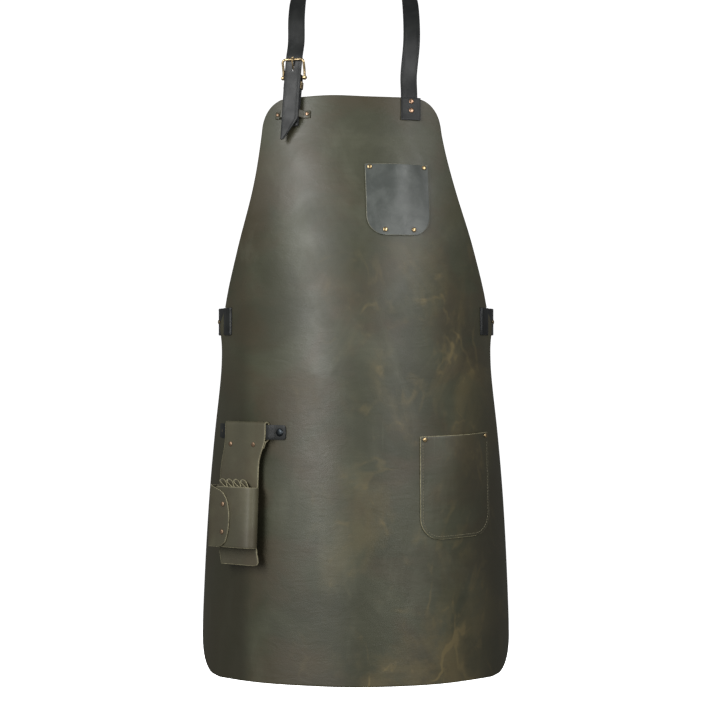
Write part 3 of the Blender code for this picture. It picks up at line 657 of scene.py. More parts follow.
def black_leather(name, deep, main, roughness, coat):
    """Smooth dark strap leather with a faint cloudy shine."""
    skin = Finish(name, roughness)
    skin.set("Specular IOR Level", 0.30 + 2.0 * coat)
    skin.set("Coat Weight", coat)
    skin.set("Coat Roughness", 0.34)
    skin.paint(skin.spread(skin.noise(28.0, 5.0, 0.6, 0.4), 0.34, 0.70), deep, main)
    scuffs = skin.noise(1.0, 4.0, 0.65, at=skin.stretched((60.0, 60.0, 14.0)))
    lighter = tuple(min(1.0, value * 1.9 + 0.01) for value in main)
    skin.tint(skin.spread(scuffs, 0.60, 0.78), lighter, 0.45)
    skin.set("Roughness", skin.spread(skin.noise(40.0), 0.30, 0.70, roughness - 0.05, roughness + 0.08))
    skin.grain(900.0, 0.00005, 120.0, 0.00012)
    return skin.finished()


def flesh_side(name, deep, main, worn):
    """The leather's napped back: rough, fibrous and cloudy, with no shine."""
    skin = Finish(name, 0.92)
    skin.set("Specular IOR Level", 0.25)
    skin.paint(skin.spread(skin.noise(9.0, 5.0, 0.6, 0.5), 0.34, 0.66), deep, main)
    rubbed = skin.noise(16.0, 5.0, 0.65, 0.8, skin.stretched((1.0, 1.0, 0.5)))
    skin.tint(skin.spread(rubbed, 0.52, 0.74), worn, 0.5)
    nap = skin.noise(520.0, 4.0, 0.7, at=skin.stretched((1.0, 1.0, 0.4)))
    skin.tint(skin.spread(nap, 0.35, 0.70), deep, 0.35)
    skin.bump(nap, 0.6, 0.0003)
    return skin.finished()


def raw_edge(name, dark, pale):
    """A cut leather edge: fibrous, layered and rather dry."""
    skin = Finish(name, 0.68)
    fibres = skin.spread(skin.noise(420.0, 4.0, 0.65), 0.30, 0.70)
    worn = skin.spread(skin.noise(38.0, 3.0, 0.6), 0.35, 0.65)
    skin.paint(fibres, dark, pale)
    skin.tint(worn, dark, 0.45)
    skin.bump(fibres, 0.5, 0.00015)
    return skin.finished()


def aged_metal(name, deep, main, roughness):
    """Brass or copper with dark patina in its hollows and fine wear."""
    skin = Finish(name, roughness, 1.0)
    patina = skin.spread(skin.noise(260.0, 5.0, 0.62, 0.3), 0.34, 0.64)
    skin.paint(patina, deep, main)
    skin.set("Roughness", skin.spread(patina, 0.0, 1.0, roughness + 0.18, roughness))
    marks = skin.noise(900.0, 3.0, 0.6, at=skin.stretched((1.0, 1.0, 3.0)))
    skin.bump(marks, 0.12, 0.00003)
    return skin.finished()


def thread_material(name, deep, main):
    """Twisted waxed thread."""
    skin = Finish(name, 0.6)
    wave = skin.add("TexWave", {"bands_direction": "DIAGONAL"}, Vector=skin.at, Scale=700.0, Distortion=1.0)
    twist = wave.outputs["Fac"]
    skin.paint(twist, deep, main)
    skin.bump(twist, 0.5, 0.0001)
    return skin.finished()


BROWN_CAST = (0.062, 0.047, 0.027)
# The tone of the painted shade on the lower flanks, partly also darker leather there.
FLANK_SHADE_AND_DARK_LEATHER = (0.026, 0.024, 0.013)
TAN = (0.140, 0.111, 0.050)
OLIVE = ((0.040, 0.041, 0.023), (0.062, 0.064, 0.038), (0.090, 0.091, 0.060), TAN)
OLIVE_HOLSTER = ((0.074, 0.069, 0.040), (0.116, 0.108, 0.064), (0.150, 0.138, 0.088), TAN)
FLESH = ((0.072, 0.064, 0.040), (0.120, 0.106, 0.068), (0.165, 0.145, 0.095))
BLACK = ((0.0070, 0.0080, 0.0078), (0.0170, 0.0185, 0.0175))
TEAL = ((0.052, 0.059, 0.053), (0.096, 0.105, 0.096))
MATERIALS = {
    "olive": olive_leather("olive_leather_waxed", *OLIVE, 1.35),
    "olive_pocket": olive_leather("olive_leather_pocket", *OLIVE, 1.0, 0.45),
    "olive_holster": olive_leather("olive_leather_holster", *OLIVE_HOLSTER, 0.50, 0.40, 0.12),
    "olive_edge": raw_edge("olive_raw_edge", (0.15, 0.135, 0.080), (0.40, 0.365, 0.23)),
    "panel_edge": raw_edge("panel_raw_edge", (0.040, 0.036, 0.022), (0.12, 0.105, 0.062)),
    "flesh": flesh_side("olive_leather_back", *FLESH),
    "black": black_leather("black_strap_leather", *BLACK, 0.46, 0.03),
    "black_edge": raw_edge("black_strap_edge", (0.010, 0.011, 0.012), (0.045, 0.047, 0.048)),
    "teal": black_leather("black_pocket_leather", *TEAL, 0.43, 0.10),
    "teal_edge": raw_edge("black_pocket_edge", (0.10, 0.10, 0.075), (0.30, 0.295, 0.22)),
    "antique_brass": aged_metal("antique_brass_metal", (0.14, 0.095, 0.045), (0.72, 0.56, 0.32), 0.26),
    "brass": aged_metal("aged_brass_metal", (0.20, 0.125, 0.055), (0.72, 0.55, 0.30), 0.26),
    "holster_brass": aged_metal("worn_brass_metal", (0.13, 0.085, 0.055), (0.50, 0.34, 0.22), 0.36),
    "copper": aged_metal("aged_copper_metal", (0.13, 0.075, 0.050), (0.52, 0.33, 0.22), 0.32),
    "dark_metal": aged_metal("blackened_metal", (0.015, 0.018, 0.020), (0.050, 0.058, 0.064), 0.34),
    "thread": thread_material("olive_thread", (0.10, 0.09, 0.055), (0.25, 0.225, 0.150)),
}


# Pieces


def link_turned(name, cad, profile, matrix, metal, slot, body="apron", steps=32):
    """A turned metal piece, in place of its CAD node."""
    mesh = shaded(turned_mesh(profile, matrix, steps))
    mesh.materials.append(MATERIALS[metal])
    link(name, mesh, body, (cad,))


def rivet(cad, matrix, front, back, metal, slot, body="apron", head=0.0036, cap=0.0040):
    """A cap rivet: a domed head on the front, a shank, and a flatter cap on the back."""
    top, under = front + GAP, back - GAP
    dome = 0.0014
    profile = [(0, top + dome)]
    for turn in (0.2, 0.4, 0.65, 0.9, 1.15, 1.4):
        profile.append((head * math.sin(turn), top + dome * (0.12 + 0.88 * math.cos(turn))))
    profile += [(head, top + dome * 0.10), (head * 0.98, top), (SHANK, top), (SHANK, under), (cap, under)]
    profile += [(cap, under - 0.0003), (cap * 0.93, under - 0.0007), (cap * 0.5, under - 0.00085)]
    profile.append((0, under - 0.0009))
    link_turned(f"{cad}_metal", cad, profile, outward(matrix), metal, slot, body)


def make_panel():
    """The apron's one sheet of leather, with its four slits."""
    columns = 121
    rows = rows_between(PANEL_HEM, PANEL_TOP, HEM_CORNER, TOP_CORNER, 118)

    def where(i, j):
        height = rows[j]
        along = (2 * i / (columns - 1) - 1) * half_width(height)
        point = on_panel(along, height)
        near_top = min(max((height - PANEL_TOP + 0.05) / 0.05, 0.0), 1.0)
        point.z += 0.0022 * hump(along + 0.030, 0.040) * near_top
        return point

    sheet = grid_mesh(columns, len(rows), where)
    mesh = thickened(sheet, PANEL_LOOKS, PANEL_THICK, -1.0, tight=False)
    slits = []
    for along in (SLIT_INNER, SLIT_OUTER, -SLIT_INNER, -SLIT_OUTER):
        slits.append((panel_frame(along, WAIST_HEIGHT), (SLIT_WIDTH, 0.014, WAIST_WIDTH + 0.0016)))
    mesh = shaded(carved(mesh, boxes=slits))
    piece = link("apron_leather", mesh, "apron", ("apron_panel",))
    gaps = zip(rows, rows[1:])
    area = sum((half_width(a) + half_width(b)) * (b - a) for a, b in gaps)
    widest = 2 * max(half_width(height) for height in rows)


def pocket_lift(pocket, bulge, along, height):
    """How far a pocket's inner face stands off the panel: most at the middle of its mouth."""
    middle, top, width, tall, _ = pocket
    across = min(abs(along - middle) / (width / 2), 1.0)
    up = min(max((height - top + tall) / tall, 0.0), 1.0)
    return LAY + bulge * math.cos(across * math.pi / 2) ** 2 * (3 * up**2 - 2 * up**3)


def pocket_half(pocket, height):
    """Half of a pocket's width at a height."""
    _, top, width, tall, corner = pocket
    inside = corner - (height - top + tall)
    half = width / 2
    if inside > 0:
        half -= corner - math.sqrt(max(corner**2 - min(inside, corner) ** 2, 0))
    return half


def pocket_point(pocket, tilt, bulge, along, height, lift=0.0):
    """A point of a pocket, lift outward from its inner face."""
    z = height + tilt * (along - pocket[0])
    return on_panel(along, z, lift + pocket_lift(pocket, bulge, along, height))


def pocket_rivets(pocket, tilt, lower_too):
    """Frames of a pocket's rivets: two at its top corners and, on the chest pocket, two near its bottom."""
    middle, top, width, height, _ = pocket
    places = [(side * (width / 2 - 0.007), top - 0.0048) for side in (-1, 1)]
    if lower_too:
        places += [(side * 0.0213, top - height + 0.008) for side in (-1, 1)]
    return [panel_frame(middle + x, z + tilt * x) for x, z in places]


def make_pocket(cad, pocket, tilt, bulge, looks, slot, lower_too):
    """A patch pocket, standing off the panel at its mouth, and its rivets."""
    middle, top, width, height, corner = pocket
    columns = 49
    rows = rows_between(top - height, top, corner, 0.0, 34)

    def where(i, j):
        along = middle + (2 * i / (columns - 1) - 1) * pocket_half(pocket, rows[j])
        return pocket_point(pocket, tilt, bulge, along, rows[j])

    mesh = sheet_mesh(columns, len(rows), where, looks, POCKET_THICK, 1.0, POCKET_ROUND, tight=False)
    piece = link(f"{cad}_leather", mesh, "apron", (cad,))
    names = ["top_left", "top_right", "bottom_left", "bottom_right"]
    front = LAY + POCKET_THICK + 0.0007
    for place_name, matrix in zip(names, pocket_rivets(pocket, tilt, lower_too)):
        rivet(f"{cad}_rivet_{place_name}", matrix, front, BEHIND, "brass", "brass", head=0.0034)


def stitch_line(pocket, inset):
    """(along, height) of a line round a pocket's sides and bottom, that far inside its edge."""
    middle, top, width, height, corner = pocket
    half, radius, low = width / 2 - inset, corner - inset, top - height + inset
    below_top, step = 0.010, 0.001
    count = int((height - corner - below_top) / step) + 1
    left = [(middle - half, top - below_top - step * k) for k in range(count)]
    start = (middle - half + radius, low + radius)
    turn_left = arc(start, radius, 180, 270, 40)
    base = [(start[0] + (2 * (half - radius)) * k / 60, low) for k in range(1, 60)]
    turn_right = arc((middle + half - radius, low + radius), radius, 270, 360, 40)
    return left + turn_left + base + turn_right + [(2 * middle - a, z) for a, z in reversed(left)]


def make_stitches(name, pocket, tilt, bulge):
    """A row of thread stitches round the lower pocket, each a short bowed capsule."""
    flat = stitch_line(pocket, STITCH_INSIDE)
    points = [pocket_point(pocket, tilt, bulge, a, z, POCKET_THICK) for a, z in flat]
    places = [0.0]
    for a, b in zip(points, points[1:]):
        places.append(places[-1] + (b - a).length)

    def along_line(distance):
        k = max(i for i in range(len(places)) if places[i] <= distance)
        k = min(k, len(points) - 2)
        t = (distance - places[k]) / max(places[k + 1] - places[k], 1e-9)
        a, b = flat[k], flat[k + 1]
        return a[0] + (b[0] - a[0]) * t, a[1] + (b[1] - a[1]) * t

    form = bmesh.new()
    radius, sides = 0.00045, 8
    length, ahead = STITCH_PITCH - STITCH_GAP, 0.0003
    # (share of the stitch's length, width, height above the leather), the last two in thread radii
    shares = [(0.0, 0.15, -0.4), (0.06, 0.8, -0.1), (0.25, 1.0, 0.35), (0.5, 1.0, 0.5), (0.75, 1.0, 0.35)]
    shares += [(0.94, 0.8, -0.1), (1.0, 0.15, -0.4)]
    for n in range(int(places[-1] / STITCH_PITCH)):
        begin = n * STITCH_PITCH + 0.4 * STITCH_GAP
        rings = []
        for share, wide, high in shares:
            a, z = along_line(begin + share * length)
            a2, z2 = along_line(begin + share * length + ahead)
            here = pocket_point(pocket, tilt, bulge, a, z, POCKET_THICK)
            way = (pocket_point(pocket, tilt, bulge, a2, z2, POCKET_THICK) - here).normalized()
            out = (pocket_point(pocket, tilt, bulge, a, z, POCKET_THICK + 0.001) - here).normalized()
            side = way.cross(out).normalized()
            middle = here + out * radius * high
            ring = []
            for k in range(sides):
                turn = 2 * math.pi * k / sides
                spoke = side * math.cos(turn) + out * math.sin(turn)
                ring.append(form.verts.new(middle + spoke * radius * wide))
            rings.append(ring)
        for first, second in zip(rings, rings[1:]):
            for k in range(sides):
                form.faces.new((first[k], first[(k + 1) % sides], second[(k + 1) % sides], second[k]))
        form.faces.new(list(reversed(rings[0])))
        form.faces.new(rings[-1])
    bmesh.ops.recalc_face_normals(form, faces=form.faces)
    mesh = smoothed(mesh_from(form, name))
    mesh.materials.append(MATERIALS["thread"])
    link(name, mesh, "apron")


def creased(width, dip):
    """A strap's cross-section as (share of its width, depth): flat, with a pressed line inside each edge."""
    if not dip:
        return [(k / 4, 0.0) for k in range(5)]
    near = 0.0024 / width
    half = 0.0005 / width
    left = [(0.0, 0.0), (near - 2 * half, 0.0), (near - half, dip * 0.6), (near, dip)]
    left += [(near + half, dip * 0.6), (near + 2 * half, 0.0), (0.28, 0.0)]
    return left + [(0.5, 0.0)] + [(1 - share, depth) for share, depth in reversed(left)]


def strap_mesh(line, across, thickness, width, edges=None, dip=0.0, rounding=EDGE_ROUND, looks=BLACK_LOOKS):
    """A strap along a line. across is its width's direction, and dip the depth of the lines pressed in it."""
    last = len(line) - 1
    section = creased(width, dip)
    sides, outs = [], []
    for k, point in enumerate(line):
        way = (line[min(k + 1, last)] - line[max(k - 1, 0)]).normalized()
        side = Vector(across[k] if isinstance(across, list) else across)
        side = (side - way * side.dot(way)).normalized()
        sides.append(side)
        outs.append(side.cross(way).normalized())

    def where(i, k):
        low, high = edges(k / last) if edges else (-width / 2, width / 2)
        share, depth = section[i]
        return line[k] + sides[k] * (low + (high - low) * share) - outs[k] * depth

    mesh = grid_mesh(len(section), len(line), where)
    return thickened(mesh, looks, thickness, 0.0, rounding)


def make_patch():
    """The patch in front of the panel over the strap's end, and its two rivets."""
    wide, low, high, thick = 0.030, PANEL_TOP - 0.034, PANEL_TOP - 0.0005, 0.0022
    columns, rows = 13, 13

    def where(i, j):
        along = STRAP_ALONG_RIGHT + (i / (columns - 1) - 0.5) * wide
        return on_panel(along, low + (high - low) * j / (rows - 1), LAY)

    mesh = sheet_mesh(columns, rows, where, BLACK_LOOKS, thick, 1.0)
    link("neck_strap_patch_leather", mesh, "apron", ("neck_strap_patch",))
    front, back = LAY + thick + 0.0002, -PANEL_THICK - STRAP_THICK - 3 * GAP
    for name, down in (("upper", 0.0065), ("lower", 0.0200)):
        matrix = panel_frame(STRAP_ALONG_RIGHT, PANEL_TOP - down)
        rivet(f"patch_rivet_{name}", matrix, front, back, "copper", "copper", head=0.0040)


def neck_line(left, right):
    """The neck strap's middle line and the direction of its outer edge, from behind the bib to its tip."""
    out = -PANEL_THICK - GAP - STRAP_THICK / 2 - 0.0002
    billet = BASE_LIFT + BILLET_OUT
    start = [place(right, 0.0, out, z) for z in (-0.009, 0.010, 0.035, 0.062)]
    shoulder = [
        ((0.0812, -0.1590, -0.105), (0.94, 0.30, -0.08)),
        ((0.0812, -0.1410, -0.064), (0.93, 0.20, -0.26)),
        ((0.0785, -0.1150, -0.030), (0.88, 0.10, -0.42)),
        ((0.0705, -0.0785, -0.006), (0.80, 0.14, -0.56)),
        ((0.0560, -0.0420, 0.002), (0.60, 0.26, -0.75)),
        ((0.0400, -0.0130, 0.000), (0.26, 0.14, -0.95)),
        ((0.0290, -0.0020, 0.000), (0.06, 0.02, -0.998)),
        ((0.0200, STRAP_THICK / 2, 0.0), (0.0, 0.0, -1.0)),
        ((0.0100, STRAP_THICK / 2, 0.0), (0.0, 0.0, -1.0)),
    ]
    points = start + [Vector(point) for point, _ in shoulder]
    edges = [right.col[0].to_3d()] * len(start) + [Vector(edge) for _, edge in shoulder]
    points += [Vector((-point[0] * LEFT_WIDER, point[1], point[2])) for point, _ in reversed(shoulder)]
    edges += [Vector((-edge[0], edge[1], edge[2])) for _, edge in reversed(shoulder)]
    down = [(0.0, 0.086), (0.0, 0.068), (0.0006, 0.040), (0.0016, 0.010), (0.0036, -0.0395)]
    points += [place(left, x, billet, z) for x, z in down]
    edges += [-left.col[0].to_3d()] * len(down)
    return points, edges


def prong_hole(matrix):
    """The long hole in a billet that the prong passes through."""
    wide, low, high = PRONG_HOLE
    return outward(moved(matrix, 0.0, BILLET_OUT, (low + high) / 2)), wide / 2, 0.010, high - low - wide


def prong_slot(matrix):
    """The slot in a folded strap end that the prong's ring turns in."""
    return moved(matrix, 0.0, PIN_OUT, -0.0015), (0.0052, 0.016, 0.015)


def make_neck_strap(left, right, buckle_frame):
    """One strap from behind the bib's right corner, round the neck and down through the buckle to its tip."""
    points, edges = neck_line(left, right)
    steps = 14
    line = through(points, steps)
    sides = []
    for a, b in zip(edges, edges[1:]):
        sides += [a.lerp(b, k / steps) for k in range(steps)]
    sides.append(edges[-1])
    travelled = [0.0]
    for a, b in zip(line, line[1:]):
        travelled.append(travelled[-1] + (b - a).length)

    def trimmed(share):
        """The tip is one slanted cut: its inner edge is shorter than its outer edge."""
        left_over = travelled[-1] - travelled[round(share * (len(line) - 1))]
        inner = -NECK_WIDTH / 2
        if left_over < SLANTED_CUT:
            inner += (NECK_WIDTH - 0.004) * (1 - left_over / SLANTED_CUT)
        return inner, NECK_WIDTH / 2

    mesh = strap_mesh(line, sides, STRAP_THICK, NECK_WIDTH, trimmed, dip=STRAP_CREASE)
    mesh = shaded(carved(mesh, rods=[prong_hole(buckle_frame)]))
    link("neck_strap_leather", mesh, "apron", ("neck_strap",))


def fold_line(length):
    """A strap's end folded round the buckle's pin, as (out, up) points: up the base, round, and back down."""
    base = [(0.0, up) for up in (-length, -length * 0.75, -length / 2, -0.012, -0.008, -0.004)]
    bow = arc((PIN_OUT, 0.0), PIN_OUT, 180, 0, 20)
    back = [(0.0058, -0.004), (0.0052, -0.006), (0.0045, -0.008), (0.0034, -0.012), (FOLD_OUT, -0.016)]
    return base + bow + back


def make_neck_anchor(left, buckle_frame):
    """The chape that carries the buckle and the strip that holds it to the bib; its keeper is made apart."""
    tail = PIN_ABOVE + 0.018
    points = fold_line(tail) + [(FOLD_OUT, up) for up in (-0.030, -0.050, -tail)]
    line = [place(buckle_frame, 0.0, out, up) for out, up in points]
    mesh = strap_mesh(line, buckle_frame.col[0].to_3d(), STRAP_THICK, NECK_WIDTH)
    mesh = shaded(carved(mesh, boxes=[prong_slot(buckle_frame)]))
    link("neck_chape_leather", mesh, "apron", ("neck_chape",))
    fixing = moved(left, 0.0, 0.0, -0.0115)
    front = BASE_LIFT + FOLD_OUT + STRAP_THICK / 2
    rivet("neck_chape_rivet", fixing, front, BEHIND, "brass", "brass")

    half = LOOP_THICK / 2
    over = front + GAP + half
    level = panel_frame(STRAP_ALONG_LEFT, STRAP_HEIGHT)

    def lying(places):
        return [on_panel(STRAP_ALONG_LEFT + x, STRAP_HEIGHT, LAY + half) for x in places]

    path = lying((-0.0255, -0.0220, -0.0185))
    path += [place(level, x, over, 0.0) for x in (-0.0140, 0.0, 0.0140)]
    path += lying((0.0190, 0.0245, 0.0290))
    looks = ("olive", "panel_edge")
    mesh = strap_mesh(path, level.col[2].to_3d(), LOOP_THICK, 0.0110, rounding=0.0004, looks=looks)
    link("bib_loop_leather", shaded(mesh), "apron", ("bib_loop",))
    front = LAY + LOOP_THICK + GAP
    for name, x in (("left", -0.0215), ("right", 0.0245)):
        matrix = panel_frame(STRAP_ALONG_LEFT + x, STRAP_HEIGHT)
        rivet(f"bib_loop_rivet_{name}", matrix, front, BEHIND, "holster_brass", "antique_brass", head=0.0029)


def make_buckle(prefix, matrix, strap_width):
    """A buckle: U-shaped frame, pin and prong, with the pin at the frame's origin, PIN_OUT outward."""
    side = strap_width / 2 + SIDE_ROOM
    make_buckle_frame(prefix, matrix, side)

    reach = side + 0.0018 + GAP
    end = [(0, reach + 0.0013), (0.0014, reach + 0.00125), (0.0020, reach + 0.0010), (0.0024, reach + 0.0006)]
    end += [(0.0024, reach), (PIN_RADIUS, reach)]
    profile = end + [(r, -z) for r, z in reversed(end)]
    across = rod_along_x(matrix, 0.0, PIN_OUT, 0.0)
    names = f"{prefix}_pin_metal", f"{prefix}_buckle_pin"
    link_turned(*names, profile, across, "antique_brass", "antique_brass")

    corners = [
        (0, -0.0050, 0.0019),
        (0, -0.0048, 0.0045),
        (0, -0.0051, 0.0082),
        (0, -0.0086, 0.0126),
        (0, -0.0123, 0.0165),
        (0, -0.0145, 0.0197),
        (0, -0.0156, 0.0232),
        (0, -0.0156, 0.0273),
    ]
    blade = wire_mesh(through(corners, 5), PRONG_RADIUS, matrix)
    turns = [math.pi * k / 8 for k in range(16, -1, -1)]
    middle, radius = 0.0029, 0.0009
    ring = turned_mesh([(middle + radius * math.cos(a), radius * math.sin(a)) for a in turns], across)
    mesh = shaded(united([blade, ring], "antique_brass"))
    link(f"{prefix}_prong_metal", mesh, f"{prefix}_prong", (f"{prefix}_buckle_prong",))


def make_buckle_frame(prefix, matrix, side):
    """The bent wire frame, with an eye round the pin at each end. side is from its middle to an eye."""
    corner, bend_out = 0.0045, 0.0112
    leg = [(PIN_OUT, 0.0), (0.0040, 0.004), (0.0050, 0.008), (0.0069, 0.012), (0.0088, 0.016)]
    leg += [(0.0102, 0.0185), (bend_out, NOSE_UP - corner)]
    half = [(side, -out, up) for out, up in leg]
    for degrees in (12, 24, 36, 48, 60, 72, 81, 90):
        across, along = math.cos(math.radians(degrees)), math.sin(math.radians(degrees))
        out = bend_out + (NOSE_OUT - bend_out) * along
        half.append((side - corner + corner * across, -out, NOSE_UP - corner + corner * along))
    outline = half + [(-x, y, z) for x, y, z in reversed(half)]
    parts = [wire_mesh(outline, WIRE_RADIUS, matrix)]
    hole = PIN_RADIUS + GAP
    eye = [(hole, 0.0018), (0.0028, 0.0018), (0.0033, 0.0013), (0.0033, -0.0013), (0.0028, -0.0018)]
    eye += [(hole, -0.0018), (hole, 0.0018)]
    for x in (-side, side):
        parts.append(turned_mesh(eye, rod_along_x(matrix, x, PIN_OUT, 0.0)))
    mesh = shaded(united(parts, "antique_brass"))
    link(f"{prefix}_buckle_metal", mesh, "apron", (f"{prefix}_buckle_frame",))


def band_mesh(matrix, inside, wall, rounding):
    """A flat band: a round-cornered ring with a rectangular section. inside is its (width, depth, height)."""
    width, depth, height = inside

    def ring(grow):
        half_x, half_y = width / 2 + grow, depth / 2 + grow
        corner = 0.0006 + grow
        points = []
        for cx, cy, start in ((1, 1, 0), (-1, 1, 90), (-1, -1, 180), (1, -1, 270)):
            middle = cx * (half_x - corner), cy * (half_y - corner)
            points += arc(middle, corner, start, start + 90, 6)
        return points

    inner, outer = ring(0.0), ring(wall)
    count = len(inner)
    form = bmesh.new()
    levels = []
    for points, z in ((inner, height / 2), (outer, height / 2), (outer, -height / 2), (inner, -height / 2)):
        levels.append([form.verts.new(matrix @ Vector((x, y, z))) for x, y in points])
    for a, b in zip(levels, levels[1:] + levels[:1]):
        for k in range(count):
            form.faces.new((a[k], b[k], b[(k + 1) % count], a[(k + 1) % count]))
    bmesh.ops.recalc_face_normals(form, faces=form.faces)
    thing = added("band", mesh_from(form, "band"))
    round_edges(thing, rounding)
    return shaded(baked(thing))


def make_keeper(prefix, kind, matrix, high_out, strap_width, height, wall, material):
    """A band round the strap, in place of its CAD node. high_out is how far out its inside reaches."""
    low_out = -0.0016
    middle = moved(matrix, 0.0, (low_out + high_out) / 2, 0.0)
    mesh = band_mesh(middle, (strap_width + 0.0012, high_out - low_out, height), wall, wall * 0.3)
    mesh.materials.append(MATERIALS[material])
    link(f"{prefix}_keeper_{kind}", mesh, f"{prefix}_keeper_band", (f"{prefix}_keeper",))


def waist_loop():
    """The strap's end looped through both slits, as (along, lift) points from its inner end outward."""
    inner, outer = SLIT_INNER + BEND, SLIT_OUTER - BEND
    points = [(along, LAYER_B) for along in (0.276, LOOP_RIVET, 0.257, 0.249, 0.241, 0.234, 0.228)]
    points += arc((inner, LAYER_B + BEND), BEND, 270, 180, 8)
    points += arc((inner, FRONT_LAYER - BEND), BEND, 180, 90, 8)
    points += [(inner + (outer - inner) * k / 4, FRONT_LAYER + 0.0002) for k in (1, 2, 3)]
    points += arc((outer, FRONT_LAYER - BEND), BEND, 90, 0, 8)
    points += arc((SLIT_OUTER + BEND, LAYER_A + BEND), BEND, 180, 270, 8)
    return points + [(along, LAYER_A) for along in (0.248, 0.252, 0.258, LOOP_RIVET)]


def still_panel(along, height, lift):
    """A point beside the panel as the CAD has it, without its slight waves."""
    return on_panel(along, height, lift - relief(along, height))


def waist_side():
    """One side of the waist strap in plan, from its looped end to the straight stretch at the back."""
    loop = [still_panel(along, WAIST_HEIGHT, lift) for along, lift in waist_loop()]
    bow = [(0.2040, -0.0760), (0.2065, -0.050), (0.2020, -0.026), (0.187, -0.003)]
    bow += [(0.160, 0.0130), (0.125, 0.0205), (0.095, BACK_Y), (0.080, BACK_Y)]
    steps = 10
    corners = loop[-2:] + [Vector((x, y, WAIST_HEIGHT)) for x, y in bow]
    return loop[:-1] + through(corners, steps)[steps:]


def mirrored(line):
    """A line of the waist strap on the other side of the panel's middle."""
    middle = smooth(LEAN_X, WAIST_HEIGHT)
    return [Vector((2 * middle - p.x, p.y, p.z)) for p in line]


def make_waist(buckle_frame):
    """The waist strap: two halves looped through the panel's slits, joined by a buckle at the back."""
    up = Vector((0, 0, 1))
    side = waist_side()
    fold = fold_line(WAIST_PIN_X * 2) + [(FOLD_OUT, -0.021), (FOLD_OUT, -0.027)]
    line = side + [place(buckle_frame, 0.0, out, z) for out, z in fold]
    mesh = strap_mesh(line, up, STRAP_THICK, WAIST_WIDTH)
    mesh = shaded(carved(mesh, boxes=[prong_slot(buckle_frame)]))
    link("waist_strap_right_leather", mesh, "apron", ("waist_strap_right",))
    fixing = moved(buckle_frame, 0.0, 0.0, -0.0215)
    front, back = FOLD_OUT + STRAP_THICK / 2, -STRAP_THICK / 2
    rivet("waist_chape_rivet", fixing, front, back, "antique_brass", "antique_brass")

    rise = [(0.0, 0.060), (0.0035, 0.048)]
    rise += [(BILLET_OUT, z) for z in (0.034, 0.020, 0.0, -0.020, -0.045, -0.070)]
    line = mirrored(side) + through([place(buckle_frame, 0.0, out, z) for out, z in rise], 6)
    tip = [-0.0795, -0.084, -0.0885, -0.0925, -0.096, -0.099, -0.1015, -0.1035, -0.105, -0.1055]
    line += [place(buckle_frame, 0.0, BILLET_OUT, z) for z in tip]
    last = len(line) - 1

    def pointed(share):
        k = round(share * last) - (last - len(tip))
        half = WAIST_WIDTH / 2
        if k > 0:
            t = (tip[0] - tip[k - 1]) / (tip[0] - tip[-1])
            half *= math.sqrt(max(1 - t**2, 0.0004))
        return -half, half

    mesh = strap_mesh(line, up, STRAP_THICK, WAIST_WIDTH, pointed, dip=STRAP_CREASE)
    holes = [outward(moved(buckle_frame, 0.0, BILLET_OUT, z)) for z in (-0.035, -0.060, -0.085)]
    spare = [(hole, 0.0022, 0.008) for hole in holes]
    mesh = shaded(carved(mesh, rods=spare + [prong_hole(buckle_frame)]))
    link("waist_strap_left_leather", mesh, "apron", ("waist_strap_left",))
    front, back = LAYER_A + STRAP_THICK / 2, LAYER_B - STRAP_THICK / 2
    for name, along in (("right", LOOP_RIVET), ("left", -LOOP_RIVET)):
        matrix = panel_frame(along, WAIST_HEIGHT)
        rivet(f"waist_loop_rivet_{name}", matrix, front, back, "antique_brass", "antique_brass")
    make_buckle("waist", buckle_frame, WAIST_WIDTH)
    band = moved(buckle_frame, 0.0, 0.0, -0.040)
    high = BILLET_OUT + 0.0016
    make_keeper("waist", "leather", band, high, WAIST_WIDTH, 0.010, 0.0014, "black")


def make_hanger(home):
    """The strap that the holster hangs on, riveted at one end and closed with a press stud at the other."""
    fixed_end = (-0.2420, -0.2365, -0.2310, -0.2245)
    snap_end = (-0.1215, -0.1175, -0.1135, -0.1100, -0.1075, -0.1060, -0.1050, -0.1043, -0.1040)

    def lying(places):
        return [on_panel(along, HOLSTER_HEIGHT, LAY + HANGER_THICK / 2) for along in places]

    corners = lying(fixed_end)
    corners += [place(home, x, HANGER_OUT, 0.0) for x in (-0.047, 0.0, 0.0420)]
    corners += lying(snap_end)
    last = len(corners) - 1
    rounding = {0: 0.0, 1: 0.22, 2: 0.42, 3: 0.66, 4: 0.90}

    def rounded(share):
        k = last - round(share * last)
        half = HANGER_HIGH / 2
        if k in rounding:
            half *= max(math.sqrt(1 - (1 - rounding[k]) ** 2), 0.12)
        return -half, half

    mesh = strap_mesh(corners, home.col[2].to_3d(), HANGER_THICK, HANGER_HIGH, rounded)
    link("hanger_strap_leather", shaded(mesh), "apron", ("holster_hanger_strap",))
    front = LAY + HANGER_THICK
    fixed, snap = [panel_frame(along, HOLSTER_HEIGHT) for along in (fixed_end[2], snap_end[2])]
    rivet("hanger_strap_rivet", fixed, front, BEHIND, "antique_brass", "antique_brass")
    top, under = front + GAP, BEHIND - GAP
    profile = [(0, top + 0.0021), (0.0014, top + 0.00205), (0.0026, top + 0.0019), (0.0038, top + 0.0016)]
    profile += [(0.0048, top + 0.0012), (0.0055, top + 0.0007), (0.0058, top + 0.0002), (0.0057, top)]
    profile += [(SHANK, top), (SHANK, under), (0.0055, under), (0.0054, under - 0.0006)]
    profile += [(0.0045, under - 0.0009), (0, under - 0.0009)]
    names = "hanger_snap_metal", "hanger_snap"
    link_turned(*names, profile, outward(snap), "dark_metal", "dark_metal", steps=48)


def passed(line, x):
    """The place along a line, counted in its points, where its last stretch passes x."""
    k = len(line) - 1
    while k > 1 and line[k - 1].x > x:
        k -= 1
    a, b = line[k - 1], line[k]
    return k - 1 + min(max((x - a.x) / (b.x - a.x), 0.0), 1.0)


